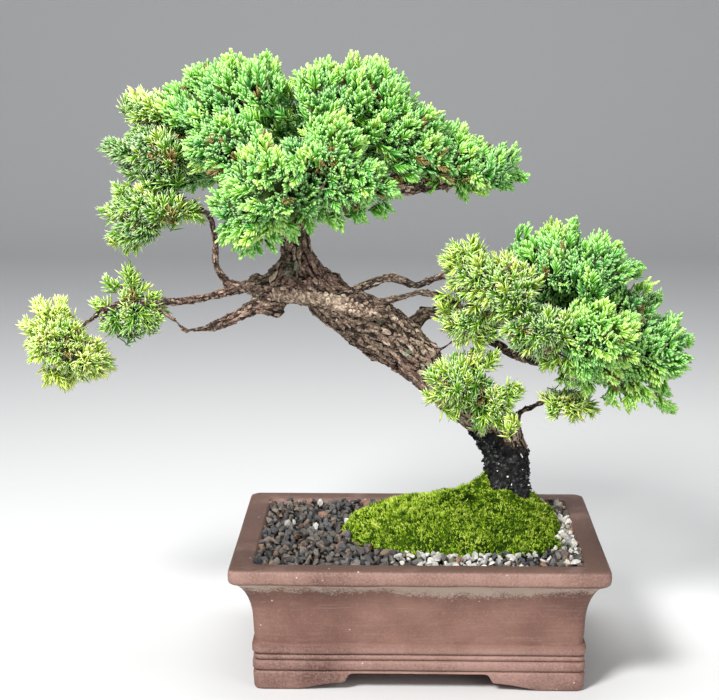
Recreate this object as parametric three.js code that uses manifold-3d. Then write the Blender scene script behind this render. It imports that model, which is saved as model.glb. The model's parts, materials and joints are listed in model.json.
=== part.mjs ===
// Juniper bonsai of procumbens habit in a rectangular stoneware pot.
// Millimetres, +Z up. The parts are placed in the pot's frame: x = 0, y = 0 under the pot's middle,
// z = 0 on the table, the front of the pot towards -Y. At the end the whole group is moved so that
// the origin lies under the middle of its bounding box.
import * as THREE from "three";
import { mergeVertices } from "three/addons/utils/BufferGeometryUtils.js";
import Module from "manifold-3d";

const wasm = await Module();
wasm.setup();

// Driving dimensions
const gap = 0.3;
const potLength = 254;
const potWidth = 203;
const potHeight = 88;
const footHeight = 12;
const floorTop = 20;
const footWall = 13;
const rimInset = 16;
const cavityFloorInset = 26;
const outerCorner = 6;
const cavityCorner = 11;
const archHalfFront = 51;
const archHalfSide = 38;
const archSlope = 37;
const archLip = 5.6;
const drainRadius = 11;
const drainPlaces = [-50, 50];
const screenSide = 34;
const screenThick = 1.2;
const screenHoles = 4;
const screenHoleSide = 5.4;
const screenPitch = 7;
const clipWire = 1.6;
const clipBend = 1.4;
const clipLegX = 8.9;
const clipLegY = 3.5;
const clipFoot = 17;
const anchorWire = 2;
const anchorBend = 3;
const anchorTop = 92;
const soilTop = 78.6;
const gravelBottom = soilTop + gap;
const gravelTop = 84;
const gravelSplitX = -12;
const mossThick = 7;
const mossSkirt = 4;
const trunkFoot = { x: 64, y: 15 };

// Facets: a grown copy of a faceted piece comes nearer to it than its growth, so it grows a little more
const woodClearance = gap + 0.06;
const padClearance = gap + 0.1;
const wallRing = 5;
const boreSides = 24;
const trunkSides = 10;
const trunkSteps = 2;
const branchSides = 6;
const branchSteps = 1;
const wireSides = 6;
const clipSteps = 30;
const anchorSteps = 40;
const lobeDetail = 1;

const clay = new THREE.MeshStandardMaterial({ color: 0x75534e, roughness: 0.8, metalness: 0 });
const screenPlastic = new THREE.MeshStandardMaterial({ color: 0x1d1f20, roughness: 0.6, metalness: 0 });
const aluminiumWire = new THREE.MeshStandardMaterial({ color: 0x8d8479, roughness: 0.45, metalness: 0.9 });
const pottingSoil = new THREE.MeshStandardMaterial({ color: 0x2a241f, roughness: 0.95, metalness: 0 });
const darkStone = new THREE.MeshStandardMaterial({ color: 0x55524e, roughness: 0.85, metalness: 0 });
const paleStone = new THREE.MeshStandardMaterial({ color: 0xb4b2ab, roughness: 0.85, metalness: 0 });
const mossGreen = new THREE.MeshStandardMaterial({ color: 0x6f9a1e, roughness: 0.95, metalness: 0 });
const bark = new THREE.MeshStandardMaterial({ color: 0x6a5044, roughness: 0.9, metalness: 0 });
const scaleGreen = new THREE.MeshStandardMaterial({ color: 0x5fae54, roughness: 0.6, metalness: 0 });
const needleGreen = new THREE.MeshStandardMaterial({ color: 0x86ad4c, roughness: 0.6, metalness: 0 });

// From mesh to solid and back
function solidOf(geometry) {
  const bare = geometry.clone();
  bare.deleteAttribute("normal");
  bare.deleteAttribute("uv");
  const merged = mergeVertices(bare);
  const vertProperties = new Float32Array(merged.attributes.position.array);
  const triVerts = new Uint32Array(merged.index.array);
  return new wasm.Manifold(new wasm.Mesh({ numProp: 3, vertProperties, triVerts }));
}

function geometryOf(solid) {
  const mesh = solid.getMesh();
  const geometry = new THREE.BufferGeometry();
  geometry.setAttribute("position", new THREE.BufferAttribute(new Float32Array(mesh.vertProperties), 3));
  geometry.setIndex(new THREE.BufferAttribute(new Uint32Array(mesh.triVerts), 1));
  return geometry;
}

function joined(solids) {
  return solids.reduce((all, solid) => all.add(solid));
}

// The largest body of a solid that a cut may have left with crumbs beside it
function largestBody(solid) {
  const bodies = solid.decompose();
  return bodies.reduce((best, body) => (body.volume() > best.volume() ? body : best));
}

function boxSolid(sizeX, sizeY, sizeZ, x, y, z) {
  return solidOf(new THREE.BoxGeometry(sizeX, sizeY, sizeZ).translate(x, y, z));
}

const bonsai = new THREE.Group();

function addPart(name, solid, material) {
  const mesh = new THREE.Mesh(geometryOf(solid), material);
  mesh.name = name;
  bonsai.add(mesh);
}

// A closed solid through level rounded rectangles, the lowest first
function stackedSolid(levels) {
  const positions = [];
  const faces = [];
  const count = 4 * wallRing;
  for (const { z, halfX, halfY, corner } of levels) {
    for (let i = 0; i < count; i += 1) {
      const quarter = Math.floor(i / wallRing);
      const angle = (Math.PI / 2) * (quarter + (i % wallRing) / (wallRing - 1));
      const signX = quarter === 0 || quarter === 3 ? 1 : -1;
      const signY = quarter < 2 ? 1 : -1;
      const x = signX * (halfX - corner) + corner * Math.cos(angle);
      const y = signY * (halfY - corner) + corner * Math.sin(angle);
      positions.push(x, y, z);
    }
  }
  for (let level = 0; level + 1 < levels.length; level += 1) {
    const low = level * count;
    const high = low + count;
    for (let i = 0; i < count; i += 1) {
      const next = (i + 1) % count;
      faces.push(low + i, low + next, high + next, low + i, high + next, high + i);
    }
  }
  const bottomMiddle = positions.length / 3;
  positions.push(0, 0, levels[0].z);
  positions.push(0, 0, levels[levels.length - 1].z);
  const top = (levels.length - 1) * count;
  for (let i = 0; i < count; i += 1) {
    const next = (i + 1) % count;
    faces.push(bottomMiddle, next, i);
    faces.push(bottomMiddle + 1, top + i, top + next);
  }
  const geometry = new THREE.BufferGeometry();
  geometry.setAttribute("position", new THREE.Float32BufferAttribute(positions, 3));
  geometry.setIndex(faces);
  return solidOf(geometry);
}

// A level of the pot's outside or inside, set in from the rim's outline
function insetLevel(z, inset, corner) {
  return { z, halfX: potLength / 2 - inset, halfY: potWidth / 2 - inset, corner };
}

// Pot: [height, inset from the rim], from the foot up through three bands, the cove and the lip
const potProfile = [
  [0, 16.6],
  [1.2, 15.8],
  [12.4, 15.2],
  [13.2, 16.3],
  [14.2, 15],
  [19.6, 14.8],
  [20.8, 16.2],
  [21.8, 15.4],
  [23.8, 15.4],
  [24.8, 16.3],
  [26.4, 14.7],
  [31.6, 14.7],
  [33.4, 15.7],
  [49, 15.7],
  [58, 14.4],
  [67, 11.4],
  [73, 7.8],
  [76, 4.8],
  [77.6, 2],
  [79.6, 0.4],
  [86, 0],
  [87.4, 0.8],
  [potHeight, 2.4],
];
const cavityProfile = [
  [floorTop, cavityFloorInset],
  [50, 25],
  [70, 21],
  [potHeight, rimInset],
];

function cavityLevels(clearance, top) {
  const below = cavityProfile.filter(([z]) => z < top);
  const [lastZ, lastInset] = below[below.length - 1];
  const [nextZ, nextInset] = cavityProfile[below.length] ?? cavityProfile[below.length - 1];
  const share = (top - lastZ) / Math.max(nextZ - lastZ, 1);
  const topInset = lastInset + (nextInset - lastInset) * Math.min(share, 1);
  const levels = below.map(([z, inset]) => insetLevel(z, inset + clearance, cavityCorner));
  levels[0].z += clearance;
  levels.push(insetLevel(top, topInset + clearance, cavityCorner));
  return levels;
}

// The cut between two feet: flat at the top, a steep step, then a long shallow slope to the ground
function archCut(halfTop, length) {
  const slopeEnd = halfTop + archSlope;
  const shape = new THREE.Shape();
  shape.moveTo(-slopeEnd, -1);
  shape.lineTo(-slopeEnd, 0.01);
  shape.bezierCurveTo(-halfTop - 22, 1.2, -halfTop - 16, 4.6, -halfTop, archLip);
  shape.bezierCurveTo(-halfTop + 3, 6, -halfTop + 2, footHeight, -halfTop + 7, footHeight);
  shape.lineTo(halfTop - 7, footHeight);
  shape.bezierCurveTo(halfTop - 2, footHeight, halfTop - 3, 6, halfTop, archLip);
  shape.bezierCurveTo(halfTop + 16, 4.6, halfTop + 22, 1.2, slopeEnd, 0.01);
  shape.lineTo(slopeEnd, -1);
  shape.closePath();
  const cut = new THREE.ExtrudeGeometry(shape, { depth: length, bevelEnabled: false, curveSegments: 5 });
  return cut.translate(0, 0, -length / 2).rotateX(Math.PI / 2);
}

function makePot() {
  const outside = stackedSolid(potProfile.map(([z, inset]) => insetLevel(z, inset, outerCorner)));
  const cavity = stackedSolid([
    ...cavityLevels(0, potHeight),
    insetLevel(potHeight + 1, rimInset, cavityCorner),
  ]);
  const recessInset = potProfile[1][1] + footWall;
  const recess = stackedSolid([
    insetLevel(-1, recessInset, outerCorner),
    insetLevel(footHeight, recessInset, outerCorner),
  ]);
  const frontArch = solidOf(archCut(archHalfFront, potWidth + 10));
  const sideArch = solidOf(archCut(archHalfSide, potLength + 10).rotateZ(Math.PI / 2));
  const drains = drainPlaces.map((x) => {
    const bore = new THREE.CylinderGeometry(drainRadius, drainRadius, floorTop, boreSides);
    return solidOf(bore.rotateX(Math.PI / 2).translate(x, 0, (footHeight + floorTop) / 2));
  });
  return [cavity, recess, frontArch, sideArch, ...drains].reduce((pot, cut) => pot.subtract(cut), outside);
}

// Drainage screens: a square moulded grid over each drain hole
const screenBottom = floorTop + gap;
const screenTop = screenBottom + screenThick;

function makeScreen(x) {
  const height = screenBottom + screenThick / 2;
  let grid = boxSolid(screenSide, screenSide, screenThick, x, 0, height);
  for (let row = 0; row < screenHoles; row += 1) {
    for (let column = 0; column < screenHoles; column += 1) {
      const holeX = x + (column - (screenHoles - 1) / 2) * screenPitch;
      const holeY = (row - (screenHoles - 1) / 2) * screenPitch;
      grid = grid.subtract(boxSolid(screenHoleSide, screenHoleSide, 2 * screenThick, holeX, holeY, height));
    }
  }
  return grid;
}

// A round wire along straight runs with eased bends
function wireSolid(corners, diameter, bend, steps) {
  const route = new THREE.CurvePath();
  const points = corners.map(([x, y, z]) => new THREE.Vector3(x, y, z));
  let from = points[0];
  for (let i = 1; i + 1 < points.length; i += 1) {
    const before = points[i].clone().add(points[i - 1].clone().sub(points[i]).setLength(bend));
    const after = points[i].clone().add(points[i + 1].clone().sub(points[i]).setLength(bend));
    route.add(new THREE.LineCurve3(from, before));
    route.add(new THREE.QuadraticBezierCurve3(before, points[i], after));
    from = after;
  }
  route.add(new THREE.LineCurve3(from, points[points.length - 1]));
  const section = new THREE.Shape();
  for (let i = 0; i < wireSides; i += 1) {
    const angle = (2 * Math.PI * i) / wireSides;
    const x = (diameter / 2) * Math.cos(angle);
    const y = (diameter / 2) * Math.sin(angle);
    if (i === 0) section.moveTo(x, y);
    else section.lineTo(x, y);
  }
  section.closePath();
  return solidOf(new THREE.ExtrudeGeometry(section, { steps, extrudePath: route, bevelEnabled: false }));
}

// Screen clips: a wire staple over each grid, its legs down through the hole and out under the floor
function clipCorners(x) {
  const top = screenTop + gap + clipWire / 2;
  const under = footHeight - gap - clipWire / 2;
  return [
    [x - clipFoot, clipLegY, under],
    [x - clipLegX, clipLegY, under],
    [x - clipLegX, clipLegY, top],
    [x + clipLegX, clipLegY, top],
    [x + clipLegX, clipLegY, under],
    [x + clipFoot, clipLegY, under],
  ];
}

// Anchor wire: up through both grids from under the floor and closed over the roots at the trunk
const anchorY = -screenPitch / 2;
const anchorUnder = footHeight - gap - anchorWire / 2;
const [leftDrain, rightDrain] = drainPlaces;
const anchorTwist = { x: trunkFoot.x - 4, y: trunkFoot.y - 24 };
const anchorCorners = [
  [anchorTwist.x - 1, anchorTwist.y, anchorTop],
  [anchorTwist.x - 1, anchorTwist.y, anchorTop - 8],
  [leftDrain + screenPitch / 2, anchorY, 40],
  [leftDrain + screenPitch / 2, anchorY, anchorUnder],
  [rightDrain - screenPitch / 2, anchorY, anchorUnder],
  [rightDrain - screenPitch / 2, anchorY, 34],
  [anchorTwist.x + 1, anchorTwist.y, anchorTop - 8],
  [anchorTwist.x + 1, anchorTwist.y, anchorTop],
];

function makeAnchor(growth) {
  const wire = wireSolid(anchorCorners, anchorWire + 2 * growth, anchorBend, anchorSteps);
  const twistRadius = anchorWire + growth;
  const twistLength = 9 + 2 * growth;
  const twist = new THREE.CylinderGeometry(twistRadius, twistRadius, twistLength, wireSides);
  twist.rotateX(Math.PI / 2).translate(anchorTwist.x, anchorTwist.y, anchorTop - 3);
  return wire.add(solidOf(twist));
}

// Limbs: tapered round tubes through points [x, y, z, radius]
function limbSolid(points, growth, sides, spanSteps) {
  const path = new THREE.CatmullRomCurve3(points.map(([x, y, z]) => new THREE.Vector3(x, y, z)));
  const steps = (points.length - 1) * spanSteps;
  const positions = [];
  const faces = [];
  let across = new THREE.Vector3(0, 1, 0);
  for (let i = 0; i <= steps; i += 1) {
    const t = i / steps;
    const along = path.getTangent(t);
    const centre = path.getPoint(t);
    if (i === 0) centre.addScaledVector(along, -growth);
    if (i === steps) centre.addScaledVector(along, growth);
    const span = Math.min(Math.floor(i / spanSteps), points.length - 2);
    const share = i / spanSteps - span;
    const radius = points[span][3] * (1 - share) + points[span + 1][3] * share + growth;
    across.addScaledVector(along, -across.dot(along)).normalize();
    const beside = new THREE.Vector3().crossVectors(along, across);
    for (let side = 0; side < sides; side += 1) {
      const angle = (2 * Math.PI * side) / sides;
      const point = centre.clone();
      point.addScaledVector(across, radius * Math.cos(angle));
      point.addScaledVector(beside, radius * Math.sin(angle));
      positions.push(point.x, point.y, point.z);
    }
    if (i === 0 || i === steps) positions.push(centre.x, centre.y, centre.z);
  }
  const ringStart = (i) => (i === 0 ? 0 : i * sides + 1);
  for (let i = 0; i < steps; i += 1) {
    for (let side = 0; side < sides; side += 1) {
      const next = (side + 1) % sides;
      const low = ringStart(i);
      const high = ringStart(i + 1);
      faces.push(low + side, low + next, high + next, low + side, high + next, high + side);
    }
  }
  const last = ringStart(steps);
  for (let side = 0; side < sides; side += 1) {
    const next = (side + 1) % sides;
    faces.push(sides, next, side);
    faces.push(last + sides, last + side, last + next);
  }
  const geometry = new THREE.BufferGeometry();
  geometry.setAttribute("position", new THREE.Float32BufferAttribute(positions, 3));
  geometry.setIndex(faces);
  return solidOf(geometry);
}

// Trunk: out of the moss, a lean to the left, the knot, then the neck up into the crown
const trunkLine = [
  [64, 15, 76, 17],
  [64, 15, 100, 15],
  [64, 15, 116, 14.4],
  [63, 15, 132, 14],
  [61, 14.5, 148, 15.4],
  [53, 12, 163, 15.4],
  [36, 10, 177, 14.4],
  [18, 8, 192, 14],
  [-1, 6, 208, 14.4],
  [-19, 4, 222, 15.6],
  [-41, 2, 236, 15.4],
  [-60, 1, 252, 14.4],
  [-73, 0, 266, 15.6],
  [-82, 0, 282, 12.4],
  [-86, 0, 297, 9.6],
  [-86, 0, 314, 8],
  [-80, 2, 338, 6.2],
  [-76, 4, 362, 4.6],
  [-74, 5, 384, 3],
];

const limbs = {
  frontLimb: [
    [10, 4, 213, 7],
    [-5, -4, 231, 7],
    [-20, -8, 244, 6.6],
    [-36, -11, 252, 6.4],
    [-56, -12, 256, 6.6],
    [-76, -12, 258, 7.2],
    [-94, -9, 261, 8],
    [-110, -6, 262, 6],
    [-125, -4, 263, 3.4],
  ],
  knotTop: [
    [-72, -2, 266, 13],
    [-90, -4, 272, 11.5],
    [-106, -5, 266, 8],
  ],
  leftBranch: [
    [-119, -4, 263, 3.4],
    [-142, -5, 257, 2.5],
    [-160, -6, 253, 2.3],
    [-182, -6, 252, 2.2],
    [-206, -4, 252, 2],
    [-222, -4, 245, 1.8],
    [-233, -4, 237, 1.6],
    [-244, -4, 225, 1.3],
  ],
  risingBranch: [
    [-120, -3, 263, 3],
    [-134, -4, 265, 2.6],
    [-141, -5, 277, 2.2],
    [-141, -6, 296, 2.1],
    [-144, -9, 313, 2],
    [-160, -12, 322, 1.8],
    [-178, -15, 322, 1.4],
  ],
  stub: [
    [-92, -5, 256, 6.4],
    [-109, -8, 252, 5],
    [-124, -8, 244, 4.2],
    [-145, -8, 234, 3.6],
  ],
  stubTwig: [
    [-142, -8, 235, 1.6],
    [-163, -8, 232, 1.3],
    [-168, -7, 238, 1.2],
    [-179, -4, 244, 1.1],
    [-194, -2, 240, 1],
  ],
  rightHighBranch: [
    [-54, -4, 256, 3.6],
    [-40, -11, 264, 2.9],
    [-28, -14, 269, 2.8],
    [-18, -15, 272, 2.8],
    [-9, -15, 268, 2.8],
    [-2, -15, 265, 2.6],
    [6, -15, 269, 2.3],
    [20, -18, 274, 2],
    [40, -22, 275, 1.5],
  ],
  rightMiddleBranch: [
    [-34, -9, 251, 3],
    [-14, -19, 258, 2.2],
    [1, -22, 262, 2.1],
    [14, -23, 261, 1.9],
    [29, -23, 252, 1.5],
    [32, -22, 244, 1.1],
  ],
  rightBough: [
    [-12, 5, 220, 7],
    [-4, 8, 235, 5],
    [3, 8, 243, 4.4],
    [18, 8, 244, 4],
    [34, 4, 237, 3.4],
    [48, 0, 227, 3.2],
    [64, -4, 216, 3],
    [86, -6, 210, 2.7],
    [110, -4, 211, 2.3],
    [134, -2, 216, 1.9],
    [158, 0, 222, 1.4],
  ],
  rightTopTwig: [
    [70, -5, 213, 2],
    [82, -2, 235, 1.8],
    [92, 2, 258, 1.5],
    [98, 4, 276, 1.1],
  ],
  rightBackTwig: [
    [48, 0, 227, 2.2],
    [62, 20, 238, 1.8],
    [80, 42, 250, 1.2],
  ],
  rightBackOuterTwig: [
    [104, -4, 211, 1.8],
    [122, 18, 222, 1.5],
    [136, 38, 232, 1.1],
  ],
  rightFrontTwig: [
    [64, -4, 216, 2],
    [74, -20, 226, 1.6],
    [82, -34, 236, 1.1],
  ],
  rightFrontOuterTwig: [
    [96, -5, 210, 1.8],
    [110, -18, 218, 1.5],
    [120, -30, 228, 1.1],
  ],
  elbowTwig: [
    [4, 2, 212, 1.8],
    [17, -4, 220, 1.2],
    [27, -12, 229, 1.1],
    [31, -20, 240, 0.9],
  ],
  lowerRightBranch: [
    [63, 13, 158, 4],
    [72, 5, 173, 2],
    [86, -2, 181, 1.7],
    [96, -6, 184, 1.4],
    [106, -8, 184, 1],
  ],
  lowerLeftTwig: [
    [36, 6, 180, 2.4],
    [38, -8, 193, 1.6],
    [36, -13, 205, 1.3],
    [40, -16, 216, 1],
  ],
  lowerSideTwig: [
    [24, 6, 188, 2],
    [20, -10, 194, 1.3],
    [24, -20, 199, 1],
  ],
  lowerMiddleTwig: [
    [50, 6, 168, 2.2],
    [52, -8, 180, 1.5],
    [51, -18, 189, 1],
  ],
  crownTopLeftBough: [
    [-85, 1, 318, 5],
    [-104, 1, 342, 4],
    [-120, 3, 368, 3],
    [-130, 4, 388, 2],
  ],
  crownMiddleBough: [
    [-92, 0, 326, 3.4],
    [-110, -14, 344, 2.6],
    [-127, -28, 360, 1.6],
  ],
  crownFrontBough: [
    [-86, -2, 308, 5],
    [-92, -22, 318, 3.6],
    [-103, -44, 328, 2.4],
    [-110, -54, 322, 1.6],
  ],
  crownLeftBough: [
    [-92, 0, 326, 3.8],
    [-128, -8, 342, 2.8],
    [-158, -12, 352, 2.2],
    [-186, -14, 356, 1.5],
  ],
  crownLeftTopTwig: [
    [-160, -12, 352, 1.8],
    [-176, -6, 368, 1.5],
    [-186, -1, 383, 1.1],
  ],
  crownRightBough: [
    [-84, 1, 322, 4.6],
    [-60, 3, 346, 3.6],
    [-46, 4, 372, 2.6],
    [-42, 5, 390, 1.8],
  ],
  crownFrontRightBough: [
    [-84, 0, 318, 4],
    [-68, -18, 334, 3],
    [-56, -34, 348, 2],
  ],
  crownReach: [
    [-85, 0, 316, 5],
    [-62, -3, 326, 4.4],
    [-36, -6, 328, 4],
    [-8, -8, 331, 3.4],
    [18, -8, 334, 2.6],
    [38, -8, 342, 1.8],
    [50, -8, 348, 1.2],
  ],
  crownReachTwig: [
    [-26, -6, 329, 2.4],
    [-12, -6, 350, 1.9],
    [-6, -5, 370, 1.3],
  ],
  crownReachFront: [
    [-4, -8, 331, 2],
    [4, -11, 345, 1.6],
    [8, -12, 356, 1.1],
  ],
  crownReachEnd: [
    [10, -8, 333, 2],
    [20, -8, 342, 1.6],
    [26, -8, 351, 1.1],
  ],
  crownBackLeftBough: [
    [-88, 1, 322, 4],
    [-112, 24, 338, 3],
    [-142, 48, 354, 1.8],
  ],
  crownBackRightBough: [
    [-84, 2, 324, 4],
    [-70, 26, 342, 3],
    [-58, 50, 358, 1.8],
  ],
  crownBackLowTwig: [
    [-86, 2, 312, 3],
    [-92, 22, 318, 2.2],
    [-96, 38, 326, 1.4],
  ],
};

// Roots: short tapered roots spread from the trunk's foot through the soil
const rootCount = 6;
const rootReach = 34;

function rootLine(index) {
  const angle = (2 * Math.PI * (index + 0.5)) / rootCount + 0.35;
  const reach = rootReach * (1 - 0.15 * (index % 2));
  const points = [
    [0, 82, 9],
    [0.35, 76, 7],
    [0.7, 66, 4.6],
    [1, 52, 2],
  ];
  return points.map(([share, z, radius]) => [
    trunkFoot.x + reach * share * Math.cos(angle),
    trunkFoot.y + reach * share * Math.sin(angle),
    z,
    radius,
  ]);
}

function makeWood(growth) {
  const parts = [limbSolid(trunkLine, growth, trunkSides, trunkSteps)];
  for (const line of Object.values(limbs)) parts.push(limbSolid(line, growth, branchSides, branchSteps));
  for (let i = 0; i < rootCount; i += 1) parts.push(limbSolid(rootLine(i), growth, branchSides, branchSteps));
  return joined(parts);
}

// Foliage pads: each clump of shoots is a few overlapping lobes [x, y, z, halfX, halfY, halfZ]
const pads = {
  pad_crown_front: {
    leaf: scaleGreen,
    lobes: [
      [-103, -50, 346, 35, 30, 18],
      [-110, -55, 326, 29, 26, 18],
      [-115, -52, 310, 18, 20, 13],
    ],
  },
  pad_crown_middle: { leaf: scaleGreen, lobes: [[-131, -30, 364, 29, 30, 23]] },
  pad_crown_front_right: {
    leaf: scaleGreen,
    lobes: [
      [-60, -38, 360, 24, 28, 24],
      [-44, -38, 338, 24, 26, 21],
      [-75, -38, 328, 17, 24, 15],
    ],
  },
  pad_crown_top_left: {
    leaf: scaleGreen,
    lobes: [
      [-134, 5, 396, 30, 40, 23],
      [-113, 0, 401, 19, 32, 22],
      [-158, 0, 384, 22, 34, 19],
    ],
  },
  pad_crown_top_right: {
    leaf: scaleGreen,
    lobes: [
      [-69, 5, 394, 18, 34, 23],
      [-38, 5, 396, 26, 38, 23],
      [-19, 0, 396, 11, 24, 19],
    ],
  },
  pad_crown_right: {
    leaf: scaleGreen,
    lobes: [
      [-7, -5, 374, 28, 36, 22],
      [6, -12, 357, 23, 28, 18],
    ],
  },
  pad_crown_reach_tip: {
    leaf: scaleGreen,
    lobes: [
      [47, -8, 347, 23, 24, 16],
      [26, -8, 352, 16, 24, 18],
    ],
  },
  pad_crown_left: {
    leaf: needleGreen,
    lobes: [
      [-177, -15, 357, 25, 36, 22],
      [-200, -12, 357, 15, 22, 12],
    ],
  },
  pad_crown_left_top: { leaf: needleGreen, lobes: [[-188, 0, 387, 19, 24, 12]] },
  pad_crown_left_low: {
    leaf: needleGreen,
    lobes: [
      [-184, -18, 320, 26, 30, 18],
      [-194, -18, 305, 18, 24, 15],
    ],
  },
  pad_crown_back_left: { leaf: scaleGreen, lobes: [[-154, 55, 358, 44, 34, 34]] },
  pad_crown_back_right: { leaf: scaleGreen, lobes: [[-53, 55, 362, 56, 36, 34]] },
  pad_crown_back_low: { leaf: scaleGreen, lobes: [[-96, 42, 329, 42, 26, 21]] },
  pad_left_tip: {
    leaf: needleGreen,
    lobes: [
      [-252, -4, 225, 23, 26, 22],
      [-235, 0, 210, 23, 26, 18],
    ],
  },
  pad_left_twigs: {
    leaf: needleGreen,
    lobes: [
      [-202, -2, 236, 25, 20, 12],
      [-200, 0, 254, 14, 16, 18],
    ],
  },
  pad_right_inner: {
    leaf: needleGreen,
    lobes: [
      [38, -20, 273, 23, 28, 20],
      [58, -28, 267, 24, 28, 24],
    ],
  },
  pad_right_low_inner: { leaf: needleGreen, lobes: [[29, -22, 243, 19, 18, 15]] },
  pad_right_front: { leaf: needleGreen, lobes: [[80, -38, 239, 28, 26, 21]] },
  pad_right_front_outer: {
    leaf: scaleGreen,
    lobes: [
      [121, -32, 231, 28, 28, 27],
      [138, -14, 204, 26, 22, 13],
      [112, -24, 204, 17, 16, 10],
    ],
  },
  pad_right_crest: {
    leaf: scaleGreen,
    lobes: [
      [94, 5, 279, 30, 34, 25],
      [121, 0, 277, 25, 32, 22],
    ],
  },
  pad_right_outer: {
    leaf: scaleGreen,
    lobes: [
      [161, 0, 220, 27, 30, 24],
      [150, 5, 248, 15, 24, 19],
    ],
  },
  pad_right_back: { leaf: scaleGreen, lobes: [[84, 46, 253, 41, 28, 32]] },
  pad_right_back_outer: { leaf: scaleGreen, lobes: [[138, 42, 233, 33, 28, 33]] },
  pad_lower_left: {
    leaf: needleGreen,
    lobes: [
      [25, -22, 198, 19, 16, 16],
      [50, -20, 189, 19, 15, 13],
      [40, -16, 210, 12, 13, 14],
      [49, -17, 175, 16, 14, 9],
    ],
  },
  pad_lower_right: { leaf: needleGreen, lobes: [[102, -8, 184, 21, 14, 10]] },
};

function lobeSolid([x, y, z, halfX, halfY, halfZ], growth) {
  const lobe = new THREE.IcosahedronGeometry(1, lobeDetail);
  lobe.scale(halfX + growth, halfY + growth, halfZ + growth);
  return solidOf(lobe.translate(x, y, z));
}

function padSolid(lobes, growth) {
  return joined(lobes.map((lobe) => lobeSolid(lobe, growth)));
}

// Moss mound and the soil mound under it: a low dome with a steeper one round the trunk's foot
const moundDomes = [
  [24, 11, gravelBottom, 82, 70, 30],
  [63, 13, gravelBottom, 41, 55, 36],
];

function moundSolid(shrink) {
  const domes = moundDomes.map((dome) => {
    const [x, y, z, halfX, halfY, halfZ] = dome;
    return lobeSolid([x, y, z, halfX - shrink, halfY - shrink, halfZ - shrink], 0);
  });
  const above = boxSolid(potLength, potWidth, potHeight, 0, 0, gravelBottom + potHeight / 2);
  return joined(domes).intersect(above);
}

// The mound with a skirt below its base, so that a cut with it leaves no thin film there
function skirtedMound(shrink) {
  return joined([moundSolid(shrink), moundSolid(shrink).translate([0, 0, -mossSkirt])]);
}

// Build
const wood = makeWood(0);
const woodClear = makeWood(woodClearance);
const anchorClear = makeAnchor(gap);

addPart("pot", makePot(), clay);
drainPlaces.forEach((x, index) => {
  const side = index === 0 ? "left" : "right";
  addPart(`drain_screen_${side}`, makeScreen(x), screenPlastic);
  addPart(`screen_clip_${side}`, wireSolid(clipCorners(x), clipWire, clipBend, clipSteps), aluminiumWire);
});
addPart("anchor_wire", makeAnchor(0), aluminiumWire);

const screenRoom = drainPlaces.map((x) => {
  const side = screenSide + 2 * gap;
  const height = screenTop + clipWire + 2 * gap - floorTop;
  return boxSolid(side, side, height, x, 0, floorTop + height / 2);
});
const soilMound = skirtedMound(mossThick + gap);
const soilBlock = stackedSolid(cavityLevels(gap, soilTop)).add(soilMound);
const soil = [woodClear, anchorClear, ...screenRoom].reduce((left, cut) => left.subtract(cut), soilBlock);
addPart("soil", largestBody(soil), pottingSoil);

const moss = moundSolid(0).subtract(skirtedMound(mossThick)).subtract(woodClear);
addPart("moss_mound", largestBody(moss), mossGreen);

const gravelDepth = gravelTop - gravelBottom;
const gravelSlab = boxSolid(potLength, potWidth, gravelDepth, 0, 0, gravelBottom + gravelDepth / 2);
const gravelLayer = stackedSolid(cavityLevels(gap, gravelTop)).intersect(gravelSlab);
const gravelBed = gravelLayer.subtract(skirtedMound(-gap));
const leftOf = gravelSplitX - gap / 2 - potLength / 2;
const rightOf = gravelSplitX + gap / 2 + potLength / 2;
const darkHalf = boxSolid(potLength, potWidth, potHeight, leftOf, 0, gravelTop);
const paleHalf = boxSolid(potLength, potWidth, potHeight, rightOf, 0, gravelTop);
addPart("gravel_dark", largestBody(gravelBed.intersect(darkHalf)), darkStone);
addPart("gravel_pale", largestBody(gravelBed.intersect(paleHalf)), paleStone);

addPart("trunk_and_branches", wood, bark);

let taken = woodClear;
for (const [name, { leaf, lobes }] of Object.entries(pads)) {
  addPart(name, largestBody(padSolid(lobes, 0).subtract(taken)), leaf);
  taken = taken.add(padSolid(lobes, padClearance));
}

const middle = new THREE.Box3().setFromObject(bonsai).getCenter(new THREE.Vector3());
bonsai.position.set(-middle.x, -middle.y, 0);

export default bonsai;
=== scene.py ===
import json
import math

import bpy
import numpy as np
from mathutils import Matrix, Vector
from mathutils.bvhtree import BVHTree
from mathutils.kdtree import KDTree


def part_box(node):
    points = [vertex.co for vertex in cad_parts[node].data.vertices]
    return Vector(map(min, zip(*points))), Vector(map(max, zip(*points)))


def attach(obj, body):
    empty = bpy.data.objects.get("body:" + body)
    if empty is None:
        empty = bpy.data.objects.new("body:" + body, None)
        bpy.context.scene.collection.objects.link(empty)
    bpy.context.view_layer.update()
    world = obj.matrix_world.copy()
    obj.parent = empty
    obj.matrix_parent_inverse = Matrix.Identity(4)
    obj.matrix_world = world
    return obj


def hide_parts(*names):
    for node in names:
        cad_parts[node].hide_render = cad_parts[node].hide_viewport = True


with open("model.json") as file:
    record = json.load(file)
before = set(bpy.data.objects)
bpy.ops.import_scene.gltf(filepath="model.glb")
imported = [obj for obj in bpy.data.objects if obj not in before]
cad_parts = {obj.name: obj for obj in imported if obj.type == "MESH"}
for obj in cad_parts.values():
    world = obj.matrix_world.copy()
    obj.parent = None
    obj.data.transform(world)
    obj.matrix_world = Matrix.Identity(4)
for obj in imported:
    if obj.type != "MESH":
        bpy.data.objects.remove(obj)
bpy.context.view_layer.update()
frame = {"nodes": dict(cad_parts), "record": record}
nodes = frame["nodes"]
slotOf = {part["node"]: part["material_slot"] for part in frame["record"]["subparts"]}
mm = 0.001
dice = np.random.default_rng(11)
potLow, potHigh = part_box("pot")
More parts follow.
